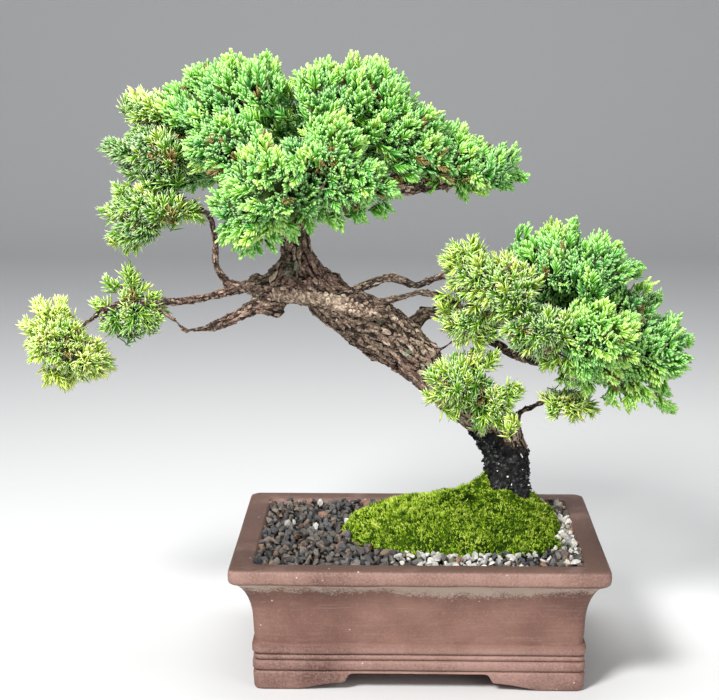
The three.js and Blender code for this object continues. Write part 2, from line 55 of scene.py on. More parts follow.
potMiddle = (potLow + potHigh) / 2
# the tree's places are given in millimetres from the point under the pot's middle


def fromPot(x, y, z):
    return Vector((potMiddle.x + x * mm, potMiddle.y + y * mm, z * mm))


def inPotFrame(places):
    return (places - [potMiddle.x, potMiddle.y, 0]) / mm


# Objects
def addObject(name, data):
    made = bpy.data.objects.new(name, data)
    bpy.context.scene.collection.objects.link(made)
    return made


def selectOnly(*pieces):  # the first of them becomes active
    for item in list(bpy.context.selected_objects):
        item.select_set(False)
    for item in pieces:
        item.select_set(True)
    if pieces:
        bpy.context.view_layer.objects.active = pieces[0]


def settle(piece):  # puts the object's place, turn and size into its mesh
    selectOnly(piece)
    bpy.ops.object.transform_apply(location=True, rotation=True, scale=True)


def primitive(add, name, stretch=(1, 1, 1), **settings):
    selectOnly()
    add(**settings)
    made = bpy.context.active_object
    made.name, made.scale = name, stretch
    settle(made)
    return made


def startEdit(piece, kind="FACE", chosen=None):  # with all of it selected, or only the chosen faces or edges
    selectOnly(piece)
    bpy.ops.object.mode_set(mode="EDIT")
    bpy.ops.mesh.select_mode(type=kind)
    bpy.ops.mesh.select_all(action="DESELECT" if chosen else "SELECT")
    if chosen:
        endEdit()
        for item in piece.data.edges if kind == "EDGE" else piece.data.polygons:
            item.select = bool(chosen(item))
        bpy.ops.object.mode_set(mode="EDIT")


def endEdit(turned=False):  # with its faces turned outwards
    if turned:
        bpy.ops.mesh.select_all(action="SELECT")
        bpy.ops.mesh.normals_make_consistent(inside=False)
    bpy.ops.object.mode_set(mode="OBJECT")


def extrude(*move):
    bpy.ops.mesh.extrude_region_move(TRANSFORM_OT_translate={"value": move})


def applyModifier(piece, kind, **settings):
    selectOnly(piece)
    modifier = piece.modifiers.new(kind.title(), kind)
    for key, value in settings.items():
        setattr(modifier, key, value)
    bpy.ops.object.modifier_apply(modifier=modifier.name)


def remesh(piece, voxel, rounds=0):  # then smoothed as many times
    applyModifier(piece, "REMESH", mode="VOXEL", voxel_size=voxel * mm)
    if rounds:
        applyModifier(piece, "SMOOTH", factor=0.5, iterations=rounds)


def copyOfNode(node, name):  # a merged copy of a CAD node's mesh
    piece = addObject(name, nodes[node].data.copy())
    piece.data.materials.clear()
    startEdit(piece)
    bpy.ops.mesh.remove_doubles(threshold=0.02 * mm)
    endEdit()
    return piece


def joined(*pieces):
    selectOnly(*pieces)
    if len(pieces) > 1:
        bpy.ops.object.join()
    return pieces[0]


def remove(piece):
    bpy.data.meshes.remove(piece.data)


def finishPiece(piece, slot, paint, *replaced):
    piece.data.materials.clear()
    piece.data.materials.append(paint.material)
    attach(piece, "root")
    if replaced:
        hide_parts(*replaced)


# Meshes as arrays
def valuesOf(items, key, width, kind=np.float32):
    found = np.empty(len(items) * width, kind)
    items.foreach_get(key, found)
    return found.reshape(-1, width)


def placesOf(piece):
    return valuesOf(piece.data.vertices, "co", 3).astype(float)


def normalsOf(piece):
    return valuesOf(piece.data.vertex_normals, "vector", 3).astype(float)


def trianglesOf(piece):
    piece.data.calc_loop_triangles()
    return valuesOf(piece.data.loop_triangles, "vertices", 3, np.int32)


def linksOf(piece):  # pairs of joined vertices, both ways round
    pairs = valuesOf(piece.data.edges, "vertices", 2, np.int32)
    return np.concatenate([pairs, pairs[:, ::-1]])


def setPlaces(piece, places):
    piece.data.vertices.foreach_set("co", places.astype(np.float32).ravel())
    piece.data.update()


def setTones(piece, tones):  # three shares at each vertex, which the bark's paint reads
    layer = piece.data.attributes.new("tone", "FLOAT_COLOR", "POINT")
    layer.data.foreach_set("color", np.pad(tones, ((0, 0), (0, 1)), constant_values=1).astype(np.float32).ravel())


def pieceOfTriangles(name, places, corners, mapPlaces=None, smooth=True):
    mesh = bpy.data.meshes.new(name)
    mesh.vertices.add(len(places))
    mesh.vertices.foreach_set("co", places.astype(np.float32).ravel())
    mesh.loops.add(corners.size)
    mesh.loops.foreach_set("vertex_index", corners.astype(np.int32).ravel())
    mesh.polygons.add(len(corners))
    mesh.polygons.foreach_set("loop_start", np.arange(0, corners.size, 3, dtype=np.int32))
    mesh.update(calc_edges=True)
    mesh.polygons.foreach_set("use_smooth", np.full(len(corners), smooth))
    if mapPlaces is not None:
        layer = mesh.uv_layers.new(name="OFBake")
        layer.uv.foreach_set("vector", mapPlaces[corners.ravel()].astype(np.float32).ravel())
    return addObject(name, mesh)


def repeated(corners, count, points):  # the corners of this many copies of a shape
    return (corners + (np.arange(count) * points)[:, None, None]).reshape(-1, 3)


def joinedArrays(parts):  # [(places, corners, mapPlaces), ...] as one
    places, corners, maps = zip(*parts)
    starts = np.cumsum([0] + [len(part) for part in places[:-1]])
    corners = [part + start for part, start in zip(corners, starts)]
    return np.concatenate(places), np.concatenate(corners), np.concatenate(maps)


def aroundMean(values, links, weights=1):  # each vertex's weighted mean over its neighbours
    start, end = links.T
    weights = weights * np.ones(len(links))
    sums = [np.bincount(start, weights * column[end], len(values)) for column in values.T]
    return columns(*sums) / np.maximum(np.bincount(start, weights, len(values)), 1e-9)[:, None]


def relaxed(values, links, rounds, keep, take, weights=1):
    for _ in range(rounds):
        values = keep * values + take * aroundMean(values, links, weights)
    return values


def unit(vectors):
    return vectors / np.maximum(np.linalg.norm(vectors, axis=-1, keepdims=True), 1e-12)


def between(first, last, share):
    return first * (1 - share) + last * share


def eased(share):
    return share * share * (3 - 2 * share)


def smoothStep(low, high, values):
    return eased(np.clip((values - low) / (high - low), 0, 1))


def lumps(places, size, seed):  # smooth noise from -1 to 1 whose lumps are about this size
    at = places / size + seed * 17.31
    cell = np.floor(at).astype(np.int64)
    share = eased(at - cell)
    total = np.zeros(len(at))
    for corner in range(8):
        step = np.array([corner & 1, corner >> 1 & 1, corner >> 2 & 1])
        x, y, z = (cell + step).T
        mixed = (x * 73856093) ^ (y * 19349663) ^ (z * 83492791) ^ (seed * 2654435)
        value = (mixed * 1103515245 + 12345 >> 8 & 65535) / 32767.5 - 1
        total += value * np.where(step, share, 1 - share).prod(1)
    return total


def columns(*values):  # side by side along a new last axis
    return np.stack(values, axis=-1)


def wander(places, size, seed):  # smooth noise in three directions
    return columns(*[lumps(places, size, seed + step) for step in range(3)])


def frames(along, turn):  # turns that carry +Z to these directions, rolled about them
    start = np.where(np.abs(along[:, 2:]) < 0.9, [[0.0, 0.0, 1.0]], [[1.0, 0.0, 0.0]])
    side = unit(np.cross(start, along))
    other = np.cross(along, side)
    c, s = np.cos(turn)[:, None], np.sin(turn)[:, None]
    return columns(side * c + other * s, other * c - side * s, along)


def surfacePoints(piece, count):  # random places on a mesh, their smooth normals, and its area
    places, normals, corners = placesOf(piece), normalsOf(piece), trianglesOf(piece)
    a, b, c = (places[corners[:, i]] for i in range(3))
    area = np.linalg.norm(np.cross(b - a, c - a), axis=1) / 2
    chosen = corners[dice.choice(len(corners), count, p=area / area.sum())]
    share = np.sqrt(dice.random(count))
    other = dice.random(count)
    weights = columns(1 - share, share * (1 - other), share * other)[:, :, None]
    return (places[chosen] * weights).sum(1), unit((normals[chosen] * weights).sum(1)), area.sum()


def thinned(places, spacing):  # indices of places that keep this far from each other
    cells, kept = {}, []
    steps = [(i, j, k) for i in (-1, 0, 1) for j in (-1, 0, 1) for k in (-1, 0, 1)]
    for index, (x, y, z) in enumerate(np.floor(places / spacing).astype(int).tolist()):
        px, py, pz = places[index]
        near = [place for i, j, k in steps for place in cells.get((x + i, y + j, z + k), ())]
        if all((px - a) ** 2 + (py - b) ** 2 + (pz - c) ** 2 >= spacing**2 for a, b, c in near):
            cells.setdefault((x, y, z), []).append((px, py, pz))
            kept.append(index)
    return np.array(kept)


def treeOf(piece):
    return BVHTree.FromPolygons(placesOf(piece).tolist(), trianglesOf(piece).tolist())


def farFrom(tree, places):
    return np.array([tree.find_nearest(Vector(place))[3] for place in places])


def inside(tree, place):
    near, normal, _, _ = tree.find_nearest(Vector(place))
    return (Vector(place) - near).dot(normal) < 0


def thicknessAt(tree, places, normals, skip):  # how far the other side is, and 40 mm at most
    found = []
    for place, normal in zip(places.tolist(), normals.tolist()):
        inwards = -Vector(normal)
        found.append(tree.ray_cast(Vector(place) + inwards * skip * mm, inwards, 0.04)[3] or 0.04)
    return np.array(found)


# Shader sums
class Wire:  # a shader socket that can stand in a Python sum
    def __init__(self, paint, socket):
        self.paint, self.socket = paint, socket

    def sum(self, operation, first, second):
        return self.paint.node("ShaderNodeMath", {"operation": operation}, {0: first, 1: second})

    def __add__(self, other):
        return self.sum("ADD", self, other)

    def __sub__(self, other):
        return self.sum("SUBTRACT", self, other)

    def __rsub__(self, other):
        return self.sum("SUBTRACT", other, self)

    def __mul__(self, other):
        return self.sum("MULTIPLY", self, other)

    __radd__, __rmul__ = __add__, __mul__


def colour(shade):  # a screen colour, [red, green, blue] from 0 to 255, as Blender's; one of four stays
    if len(shade) == 4:
        return shade
    return *(((c / 255 + 0.055) / 1.055) ** 2.4 if c > 10 else c / 255 / 12.92 for c in shade), 1


class Paint:  # a material and its nodes
    def __init__(self, name, **settings):
        self.material = bpy.data.materials.new(name)
        self.material.use_nodes = True
        self.tree = self.material.node_tree
        for key, value in settings.items():
            self.set(key.replace("_", " "), value)

    def set(self, socket, value):
        self.join(value, self.tree.nodes["Principled BSDF"].inputs[socket])

    def join(self, value, socket):
        if isinstance(value, Wire):
            self.tree.links.new(value.socket, socket)
        else:
            socket.default_value = value

    def node(self, kind, settings=None, inputs=None, output=0):
        made = self.tree.nodes.new(kind)
        for key, value in (settings or {}).items():
            if key != "stops":
                setattr(made, key, value)
                continue
            elements = made.color_ramp.elements
            for place, _ in value[2:]:
                elements.new(place)
            for element, (place, shade) in zip(elements, value):
                element.position, element.color = place, colour(shade)
        for key, value in (inputs or {}).items():
            self.join(value, made.inputs[key])
        return Wire(self, made.outputs[output])

    def split(self, value):
        first = self.node("ShaderNodeSeparateXYZ", None, {0: value})
        return [Wire(self, socket) for socket in first.socket.node.outputs]

    def mapPlace(self):  # what the piece's own map says: across, then along
        return self.split(self.node("ShaderNodeUVMap", {"uv_map": "OFBake"}))[:2]

    def objectPlace(self, scale=(1, 1, 1)):
        place = self.node("ShaderNodeTexCoord", output=3)
        return self.node("ShaderNodeMapping", {"vector_type": "POINT"}, {0: place, 3: scale})

    def noise(self, place, scale, detail=3.0, rough=0.55):
        inputs = {"Vector": place, "Scale": scale, "Detail": detail, "Roughness": rough}
        return self.node("ShaderNodeTexNoise", None, inputs)

    def ramp(self, value, stops):
        return self.node("ShaderNodeValToRGB", {"stops": stops}, {0: value})

    def grey(self, value, low, high):  # 0 below low, 1 above high
        return self.node("ShaderNodeMapRange", {"clamp": True}, {0: value, 1: low, 2: high})

    def band(self, value, low, full, fading, high):  # 1 from full to fading, 0 below low and above high
        return self.grey(value, low, full) * (1 - self.grey(value, fading, high))

    def mix(self, share, first, second, blend="MIX"):
        second = second if isinstance(second, Wire) else colour(second)
        settings = {"data_type": "RGBA", "blend_type": blend}
        return self.node("ShaderNodeMix", settings, {0: share, 6: first, 7: second}, 2)

    def bump(self, height, distance, strength):
        inputs = {"Strength": strength, "Distance": distance, "Height": height}
        self.set("Normal", self.node("ShaderNodeBump", None, inputs))


# Camera, light and floor
cameraSettings = {"place": (0.0291, -1.2405, 0.4435), "pitch": 0.180, "turn": 0.022, "lens": 90.2}
lightSettings = {
    "key": {"place": (-0.7, -1.2, 1.35), "size": 0.45, "power": 50},
    "fill": {"place": (1.2, -1.3, 0.75), "size": 1.2, "power": 12},
    "top": {"place": (0.1, 0.35, 1.5), "size": 0.9, "power": 16},
    "aim": (0, 0, 0.2),
    "sky": (0.86, 0.9, 1.0, 1),
    "skyPower": 0.3,
}
floorSettings = {"side": 9, "sweepAt": 2.2, "radius": 0.9, "steps": 12, "height": 3.5, "tint": (0.62, 0.62, 0.61, 1)}


def makeCamera(settings):
    camera = addObject("camera", bpy.data.cameras.new("camera"))
    camera.location = settings["place"]
    camera.rotation_euler = (math.pi / 2 - settings["pitch"], 0, settings["turn"])
    camera.data.lens = settings["lens"]
    camera.data.sensor_width = 36
    camera.data.clip_start = 0.05
    bpy.context.scene.camera = camera


def makeLights(settings):
    for name in ("key", "fill", "top"):
        light = addObject(name, bpy.data.lights.new(name, "AREA"))
        light.location = settings[name]["place"]
        light.data.size = settings[name]["size"]
        light.data.energy = settings[name]["power"]
        aim = Vector(settings["aim"]) - light.location
        light.rotation_euler = aim.to_track_quat("-Z", "Y").to_euler()
    world = bpy.data.worlds.new("studio")
    bpy.context.scene.world = world
    world.use_nodes = True
    sky = world.node_tree.nodes["Background"]
    sky.inputs["Color"].default_value = settings["sky"]
    sky.inputs["Strength"].default_value = settings["skyPower"]
    bpy.context.scene.view_settings.view_transform = "Standard"


def makeFloor(settings):  # a pale sheet that curves up far behind the object
    side, sweepAt, steps = settings["side"], settings["sweepAt"], settings["steps"]
    floor = primitive(bpy.ops.mesh.primitive_plane_add, "floor", size=side, location=(0, sweepAt - side / 2, 0))
    startEdit(floor, "EDGE", lambda edge: min(floor.data.vertices[i].co.y for i in edge.vertices) > sweepAt - 0.01)
    for step in range(steps):
        angle = math.pi / 2 * (step + 0.5) / steps
        length = settings["radius"] * math.pi / 2 / steps
        extrude(0, length * math.cos(angle), length * math.sin(angle))
    extrude(0, 0, settings["height"])
    endEdit()
    floor.data.shade_smooth()
    floor.data.materials.append(Paint("floorSheet", Base_Color=settings["tint"], Roughness=0.9).material)


makeCamera(cameraSettings)
makeLights(lightSettings)
makeFloor(floorSettings)
print("camera, light and floor made")

# Foliage: sprays of scale leaves and shoots of needles, spread over the pads' forms
fingerSettings = {"sides": 3, "shoulder": 0.72, "foot": 0.62}
spraySettings = {
    "width": 2.05, "thick": 0.8, "fingers": 9, "stem": 9.0, "stemWidth": 1.3, "stemPast": 2, "firstAt": 1.2,
    "spread": 40, "topSpread": 13, "lastSpread": 0.2, "longest": 7.2, "shortest": 4.8, "roll": 42,
    # how much one finger differs from the next
    "spreads": (0.8, 1.2), "lengths": (0.82, 1.18), "widths": (0.85, 1.15), "stray": 0.25, "tints": (-0.1, 0.1),
}
needleSettings = {
    "sides": 3, "shoulder": 0.6, "foot": 0.6, "width": 1.65, "thick": 0.9, "length": 8.8, "shorter": 0.25,
    "whorls": 5, "each": 3, "stem": 9.5, "stemWidth": 1, "step": 1.9, "twist": 0.07, "openFoot": 62, "openTop": 16,
    # how much one needle differs from the next
    "opens": 8, "rolls": 0.18, "lengths": (0.85, 1.15), "tints": (-0.2, 0.2),
}
kindCount = 5  # of sprays, and of shoots


def templateOf(piece):  # a modelled shape as arrays, with map places that run up it
    places, corners = placesOf(piece), trianglesOf(piece)
    around = np.arctan2(places[:, 1], places[:, 0]) / (2 * math.pi) % 1
    remove(piece)
    return places, corners, columns(around, np.clip(places[:, 2], 0, 1))


def copiesOf(template, turns, sizes, places):  # a shape many times, each with its own turn, size and place
    shape, corners, _ = template
    moved = np.einsum("kij,knj->kni", turns, shape * sizes[:, None]) + places[:, None]
    return moved.reshape(-1, 3), repeated(corners, len(turns), len(shape))


def mappedCopies(template, turns, sizes, places, rows, tints):  # with a tint across and rows from low to high along
    low, high = (np.reshape(row, (-1, 1)) for row in rows)
    across = tints[:, None] + template[2][:, 0] * 0.012
    along = np.broadcast_to(low + (high - low) * template[2][:, 1], across.shape)
    return *copiesOf(template, turns, sizes, places), columns(across, along).reshape(-1, 2)


def makeFinger(settings):  # a twig or needle, 1 long and 1 wide, along +Z, drawn to a point past its shoulder
    cylinder = {"vertices": settings["sides"], "radius": 0.5, "depth": 1, "location": (0, 0, 0.5)}
    finger = primitive(bpy.ops.mesh.primitive_cylinder_add, "finger", **cylinder)
    startEdit(finger, "FACE", lambda face: face.normal.z > 0.9)
    bpy.ops.transform.translate(value=(0, 0, settings["shoulder"] - 1))
    bpy.ops.mesh.poke()
    endEdit()
    startEdit(finger, "FACE", lambda face: face.normal.z < -0.9)
    bpy.ops.mesh.delete(type="FACE")
    endEdit()
    for vertex in finger.data.vertices:
        if vertex.co.z < 0.01:
            vertex.co.xy *= settings["foot"]
        elif vertex.co.xy.length < 0.01:
            vertex.co.z = 1
    return templateOf(finger)


def stemOf(finger, width, length, row):
    size = np.array([[width, width, length]])
    return mappedCopies(finger, np.eye(3)[None], size, np.zeros((1, 3)), (0, row), np.zeros(1))


def leaning(angle, roll):  # direction at this angle from +Z, rolled about it
    return columns(np.sin(angle) * np.cos(roll), np.sin(angle) * np.sin(roll), np.cos(angle))


def makeSpray(settings):  # a fan of fingers to both sides of a stem, and one at its end
    count = settings["fingers"]
    share = np.arange(count) / (count - 1)
    spread = np.radians(between(settings["spread"], settings["topSpread"], share))
    spread *= dice.uniform(*settings["spreads"], count)
    spread[-1] *= settings["lastSpread"]
    side = np.where(np.arange(count) % 2, math.pi, 0) + np.radians(dice.uniform(-1, 1, count) * settings["roll"])
    length = between(settings["longest"], settings["shortest"], share) * dice.uniform(*settings["lengths"], count)
    wide = settings["width"] * dice.uniform(*settings["widths"], count)
    places = np.zeros((count, 3))
    places[:, 2] = settings["firstAt"] + (settings["stem"] - settings["firstAt"]) * share
    places[:, :2] += dice.normal(0, settings["stray"], (count, 2))
    tints = dice.uniform(*settings["tints"], count)
    turns = frames(leaning(spread, side), dice.uniform(0, 6, count))
    sizes = columns(wide, wide * settings["thick"], length)
    fingers = mappedCopies(finger, turns, sizes, places, (0.25, 1), tints)
    stem = stemOf(finger, settings["stemWidth"], settings["stem"] + settings["stemPast"], 0.35)
    return joinedArrays([fingers, stem])


def makeShoot(settings):  # whorls of needles up a stem, opening less towards the tip
    each = settings["each"]
    whorl = np.repeat(np.arange(settings["whorls"]), each)
    count = len(whorl)
    share = whorl / (settings["whorls"] - 1)
    opened = between(settings["openFoot"], settings["openTop"], share) + dice.normal(0, settings["opens"], count)
    opened = np.radians(opened)
    roll = 2 * math.pi * (np.arange(count) / each + 0.5 * (whorl % 2) / each + settings["twist"] * whorl)
    roll += dice.normal(0, settings["rolls"], count)
    places = np.zeros((count, 3))
    places[:, 2] = 1 + whorl * settings["step"]
    length = settings["length"] * (1 - settings["shorter"] * share) * dice.uniform(*settings["lengths"], count)
    sizes = columns(np.full(count, settings["width"]), np.full(count, settings["thick"]), length)
    turns = frames(leaning(opened, roll), roll + math.pi / 2)
    needles = mappedCopies(needle, turns, sizes, places, (0.2, 1), dice.uniform(*settings["tints"], count))
    return joinedArrays([needles, stemOf(finger, settings["stemWidth"], settings["stem"], 0.3)])


finger, needle = makeFinger(fingerSettings), makeFinger(needleSettings)
sprays = [makeSpray(spraySettings) for _ in range(kindCount)]
shoots = [makeShoot(needleSettings) for _ in range(kindCount)]
print("spray triangles", len(sprays[0][1]), "shoot triangles", len(shoots[0][1]))

leafColours = {
    # from green to pale green, then browned, then the dark core of painted shade; and the painted shine of the living
    # tips
    "scale_leaf": {
        "stops": [
            (0.0, (42, 110, 54)), (0.3, (82, 164, 72)), (0.6, (136, 208, 86)), (0.88, (196, 232, 108)),
            (0.9, (160, 140, 84)), (0.955, (112, 88, 54)), (0.965, (66, 92, 26)), (1.0, (34, 48, 14)),
        ],
        "tip": (236, 253, 198),
        "tipAmount": 0.5,
    },
    "needle_leaf": {
        "stops": [
            (0.0, (62, 124, 42)), (0.3, (112, 172, 52)), (0.6, (178, 218, 78)), (0.88, (232, 240, 118)),
            (0.9, (186, 158, 98)), (0.955, (120, 88, 56)), (0.965, (74, 84, 28)), (1.0, (40, 40, 16)),
        ],
        "tip": (250, 255, 226),
        "tipAmount": 0.74,
    },
}
# painted shade: the foot of each finger, needle and stem, and the dark core, are darkened from the tips down
leafPaintedShade = [
    (0.0, (0.16, 0.24, 0.05, 1)), (0.3, (0.38, 0.48, 0.2, 1)), (0.6, (0.9, 0.94, 0.8, 1)), (1.0, (1, 1, 1, 1)),
]


def leafPaint(name, settings):
    paint = Paint(name, Roughness=0.5, Specular_IOR_Level=0.3)
    across, along = paint.mapPlace()
    shaded = paint.mix(1.0, paint.ramp(across, settings["stops"]), paint.ramp(along, leafPaintedShade), "MULTIPLY")
    living = 1 - paint.grey(across, 0.89, 0.92)
    tipShare = paint.grey(along, 0.62, 1.0) * living * settings["tipAmount"]
    paint.set("Base Color", paint.mix(tipShare, shaded, settings["tip"]))
    return paint


padSettings = {
    "formVoxel": 4.0,
    "formRounds": 6,
    "massVoxel": 3.4,
    "massRounds": 5,
    # layers: [spacing, height, tint, size, share that is brown]; an inner layer's lower tint is painted shade
    "scale_leaf": {
        "layers": [(4.1, 0, 0, 1.0, 0.004), (5.2, -5.5, -0.26, 0.9, 0.09)],
        "reach": 12.5, "outwards": 0.45, "flow": 0.9, "lean": 0.8, "splay": 0.22,
        "shadeCoreDepth": 8.5, "dome": 9.0, "sink": 2.4, "tuftReach": 8,
    },
    "needle_leaf": {
        "layers": [(5.9, 0, 0, 1.0, 0.015), (7.4, -5.5, -0.34, 0.85, 0.24)],
        "reach": 11.5, "outwards": 0.9, "flow": 0.5, "lean": 0.35, "splay": 0.45,
        "shadeCoreDepth": 10.5, "dome": 4.4, "sink": 4.0, "tuftReach": 10.5,
    },
    # a place of the dark core is bare with no spray's marks this near; sprays are added there, end this deep, and take
    # a lower tint, painted shade
    "cover": {
        "within": 5, "marks": (0.55, 0.8, 1.0), "above": 3, "apart": 4.4, "spacing": 4.1, "deep": 3.5, "tint": -0.2,
        "stray": 0.35, "upwards": (0, 0, 0.25), "sizes": (0.8, 1.0), "tints": 0.08,
    },
    # places tried for each that fits, how far they keep from the wood, and how far out another mass may hide them
    "tries": 7,
    "woodGap": 2,
    "hidden": 3,
    # clumps: how far apart, their reach, how much they rise and lean, where their rims start and what those lack
    "clump": 18,
    "clumpReach": 0.56,
    "clumpRise": 1.2,
    "clumpLean": 0.5,
    "rim": 0.8,
    "gapShare": 0.38,
    # the sprays' way: how it fans out from the mass's middle, where it leans up, and how it and their height stray
    "flowReach": 48,
    "flowShape": (1, 0.4, 1),
    "upFrom": (-0.6, 0.2),
    "upright": 0.25,
    "stray": 0.15,
    "rough": 0.8,
    "sizes": (0.85, 1.15),
    # share of the sprays or shoots that a loose pad keeps
    "loose": {
        "pad_crown_left": 0.9, "pad_left_twigs": 0.55, "pad_lower_left": 0.8, "pad_right_low_inner": 0.75,
        "pad_lower_right": 0.55,
    },
    # the crown's hanging fringe at the left is paler
    "fringe": {"height": (318, 304), "facing": (-0.1, -0.6), "leftOf": -70, "tint": 0.3},
    # what makes a spray paler or darker: its clump, itself, painted shade from heart to rim, and painted light on the
    # top; and the limits
    "tintShares": {"clump": 0.1, "spray": 0.08, "heart": 0.1, "rim": 0.26, "top": 0.1, "limits": (0.1, 0.86)},
    "addedTints": (0.1, 0.8),
    # how pale a pad is, and which aren't as pale as that
    "tint": 0.58,
    "tints": {
        "pad_crown_left": 0.27, "pad_crown_left_top": 0.58, "pad_crown_left_low": 0.46, "pad_left_tip": 0.84,
        "pad_left_twigs": 0.53, "pad_right_inner": 0.66, "pad_right_low_inner": 0.66, "pad_right_front": 0.46,
        "pad_lower_left": 0.6, "pad_lower_right": 0.7, "pad_right_front_outer": 0.72, "pad_right_crest": 0.52,
        "pad_right_outer": 0.56, "pad_right_back": 0.44, "pad_right_back_outer": 0.5,
    },
    "brownTints": (0.895, 0.95),
    # browned lumps: [more that is brown, size, from which noise on]; and the brown share of patches, inner and outer
    "brownLumps": (0.08, 14, 0.62),
    "patchShares": (0.5, 0.1),
    # patches and hollows end this far back
    "patchBack": 10,
    "bareBack": 30,
    # browned patches, then hollows with only inner foliage: [x, z, radius] in the picture's plane
    "brown": [
        (-73, 352, 9), (-50, 363, 9), (0, 338, 11), (12, 352, 9), (-12, 330, 11), (-104, 364, 8), (-140, 344, 7),
    ],
    "bare": [
        (-83, 377, 9), (8, 392, 9), (18, 386, 7), (0, 398, 7), (148, 263, 7), (156, 254, 7), (174, 243, 6),
        (164, 249, 6),
    ],
    # deep notches of the outline, open to the sky: [x, z, radius, first y behind which they cut]
    "notches": [(157, 257, 10, 12), (149, 249, 5.5, 12)],
    # how loose and how varied a tuft is
    "tuft": {"splay": 0.36, "stray": 2.2, "tint": 0.06, "ownTint": 0.07, "brownFrom": 0.88},
    # tufts that stand out: [x, y, z, lean in the picture's plane in degrees, shoots, tint if it is its own]
    "tufts": {
        "pad_crown_left_top": [(-198, 0, 391, -30, 6)],
        "pad_crown_left": [(-210, -15, 361, -70, 8), (-184, -15, 334, -10, 8), (-200, -15, 344, -60, 8)],
        "pad_crown_left_low": [
            (-206, -18, 331, -60, 9), (-210, -18, 316, -80, 9), (-209, -18, 298, -110, 9), (-198, -18, 290, -160, 8),
            (-157, -18, 321, 60, 9), (-153, -18, 314, 120, 7),
        ],
        "pad_crown_front": [
            (-128, -50, 306, -140, 9), (-118, -50, 298, -170, 9), (-110, -50, 297, 170, 9), (-99, -50, 301, 150, 8),
            (-87, -50, 307, 140, 8),
        ],
        "pad_crown_front_right": [
            (-75, -38, 309, 160, 8), (-57, -38, 314, 150, 8), (-42, -38, 316, 150, 7), (-26, -38, 319, 130, 9),
            (-18, -38, 332, 100, 8),
        ],
        "pad_crown_reach_tip": [
            (7, -8, 333, -120, 6), (28, 0, 370, -10, 8), (29, -8, 332, 170, 8), (40, -8, 331, 150, 8),
            (68, -8, 340, 100, 9), (58, -8, 335, 140, 7),
        ],
        "pad_crown_right": [
            (-14, -6, 341, 170, 6, 0.92), (-4, -6, 338, 180, 6), (6, -6, 337, 180, 6, 0.92),
            (16, -6, 338, 170, 6, 0.9), (12, -8, 356, 0, 4, 0.92), (-9, -10, 346, 170, 6),
        ],
        "pad_crown_top_left": [(-97, -6, 381, 40, 7), (-103, -6, 391, 60, 7)],
        "pad_right_crest": [(72, 4, 303, 5, 5), (150, 4, 273, 80, 8), (106, 4, 306, 5, 8)],
        "pad_right_inner": [(18, -24, 283, -70, 8), (22, -24, 293, -40, 8), (34, -24, 296, -10, 8)],
        "pad_right_low_inner": [
            (14, -22, 257, -70, 7), (19, -22, 244, -110, 7), (29, -22, 230, -170, 8), (42, -22, 226, 170, 8),
            (52, -22, 232, 90, 8),
        ],
        "pad_lower_left": [
            (9, -20, 206, -60, 8), (8, -20, 188, -100, 7), (23, -20, 178, -160, 8), (44, -20, 167, -170, 8),
            (61, -20, 169, 150, 7), (68, -20, 194, 80, 8), (64, -20, 183, 110, 7), (61, -30, 172, 0, 3),
            (18, -16, 212, -20, 6), (28, -18, 216, 0, 7), (40, -20, 218, 10, 7), (51, -20, 218, 30, 6),
        ],
        "pad_lower_right": [(107, -8, 175, 170, 6), (119, -8, 178, 120, 7)],
        "pad_right_front": [(87, -38, 213, -170, 8), (102, -38, 210, 160, 7)],
        "pad_right_front_outer": [(132, -26, 190, -170, 9), (146, -26, 187, 170, 9), (157, -26, 191, 140, 8)],
        "pad_right_outer": [
            (172, -3, 181, 130, 9), (170, -2, 191, 150, 8), (177, 0, 203, 110, 8), (177, 0, 241, 30, 7),
            (187, 0, 225, 70, 8),
        ],
        "pad_right_back_outer": [(171, 42, 250, 35, 9)],
        "pad_left_tip": [
            (-265, -2, 248, -30, 9), (-272, -2, 235, -70, 9), (-274, -2, 221, -100, 9), (-251, -2, 251, 0, 8),
            (-260, -2, 196, -160, 9), (-247, -2, 193, 175, 8),
        ],
        "pad_left_twigs": [
            (-223, -2, 250, -30, 3), (-216, -2, 268, -30, 3), (-199, -2, 274, 0, 7), (-181, -2, 254, 70, 6),
            (-179, -2, 242, 90, 7),
        ],
    },
}
padNodes = sorted(name for name in nodes if name.startswith("pad_"))
padForms = {name: copyOfNode(name, "form_" + name) for name in padNodes}
padTrees = {name: treeOf(form) for name, form in padForms.items()}
padBoxes = {name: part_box(name) for name in padNodes}
woodForm = copyOfNode("trunk_and_branches", "form_wood")
woodTree = treeOf(woodForm)
clumpHearts = {name: [] for name in padNodes}


def groupOf(name):  # the mass of foliage that a pad is part of
    first = name.split("_")[1]
    return first if first in ("crown", "right") else name


groups = {}
for name in padNodes:
    groups.setdefault(groupOf(name), []).append(name)
groupForms = {}
for group, members in groups.items():
    groupForms[group] = joined(*[copyOfNode(name, "mass_" + name) for name in members])
    remesh(groupForms[group], padSettings["massVoxel"], padSettings["massRounds"])
for form in padForms.values():
    remesh(form, padSettings["formVoxel"], padSettings["formRounds"])
print("pad forms made")


def covered(group, probe):  # whether a pad of another mass holds this place
    for other in padNodes:
        low, high = padBoxes[other]
        near = groupOf(other) != group and all(low[i] <= probe[i] <= high[i] for i in range(3))
        if near and inside(padTrees[other], probe):
            return True
    return False


def onAny(inPot, discs):  # which places lie on one of these discs, seen from the front
    return np.any([np.hypot(inPot[:, 0] - x, inPot[:, 2] - z) < radius for x, z, radius in discs], axis=0)


def tintOf(name):
    return padSettings["tints"].get(name, padSettings["tint"])


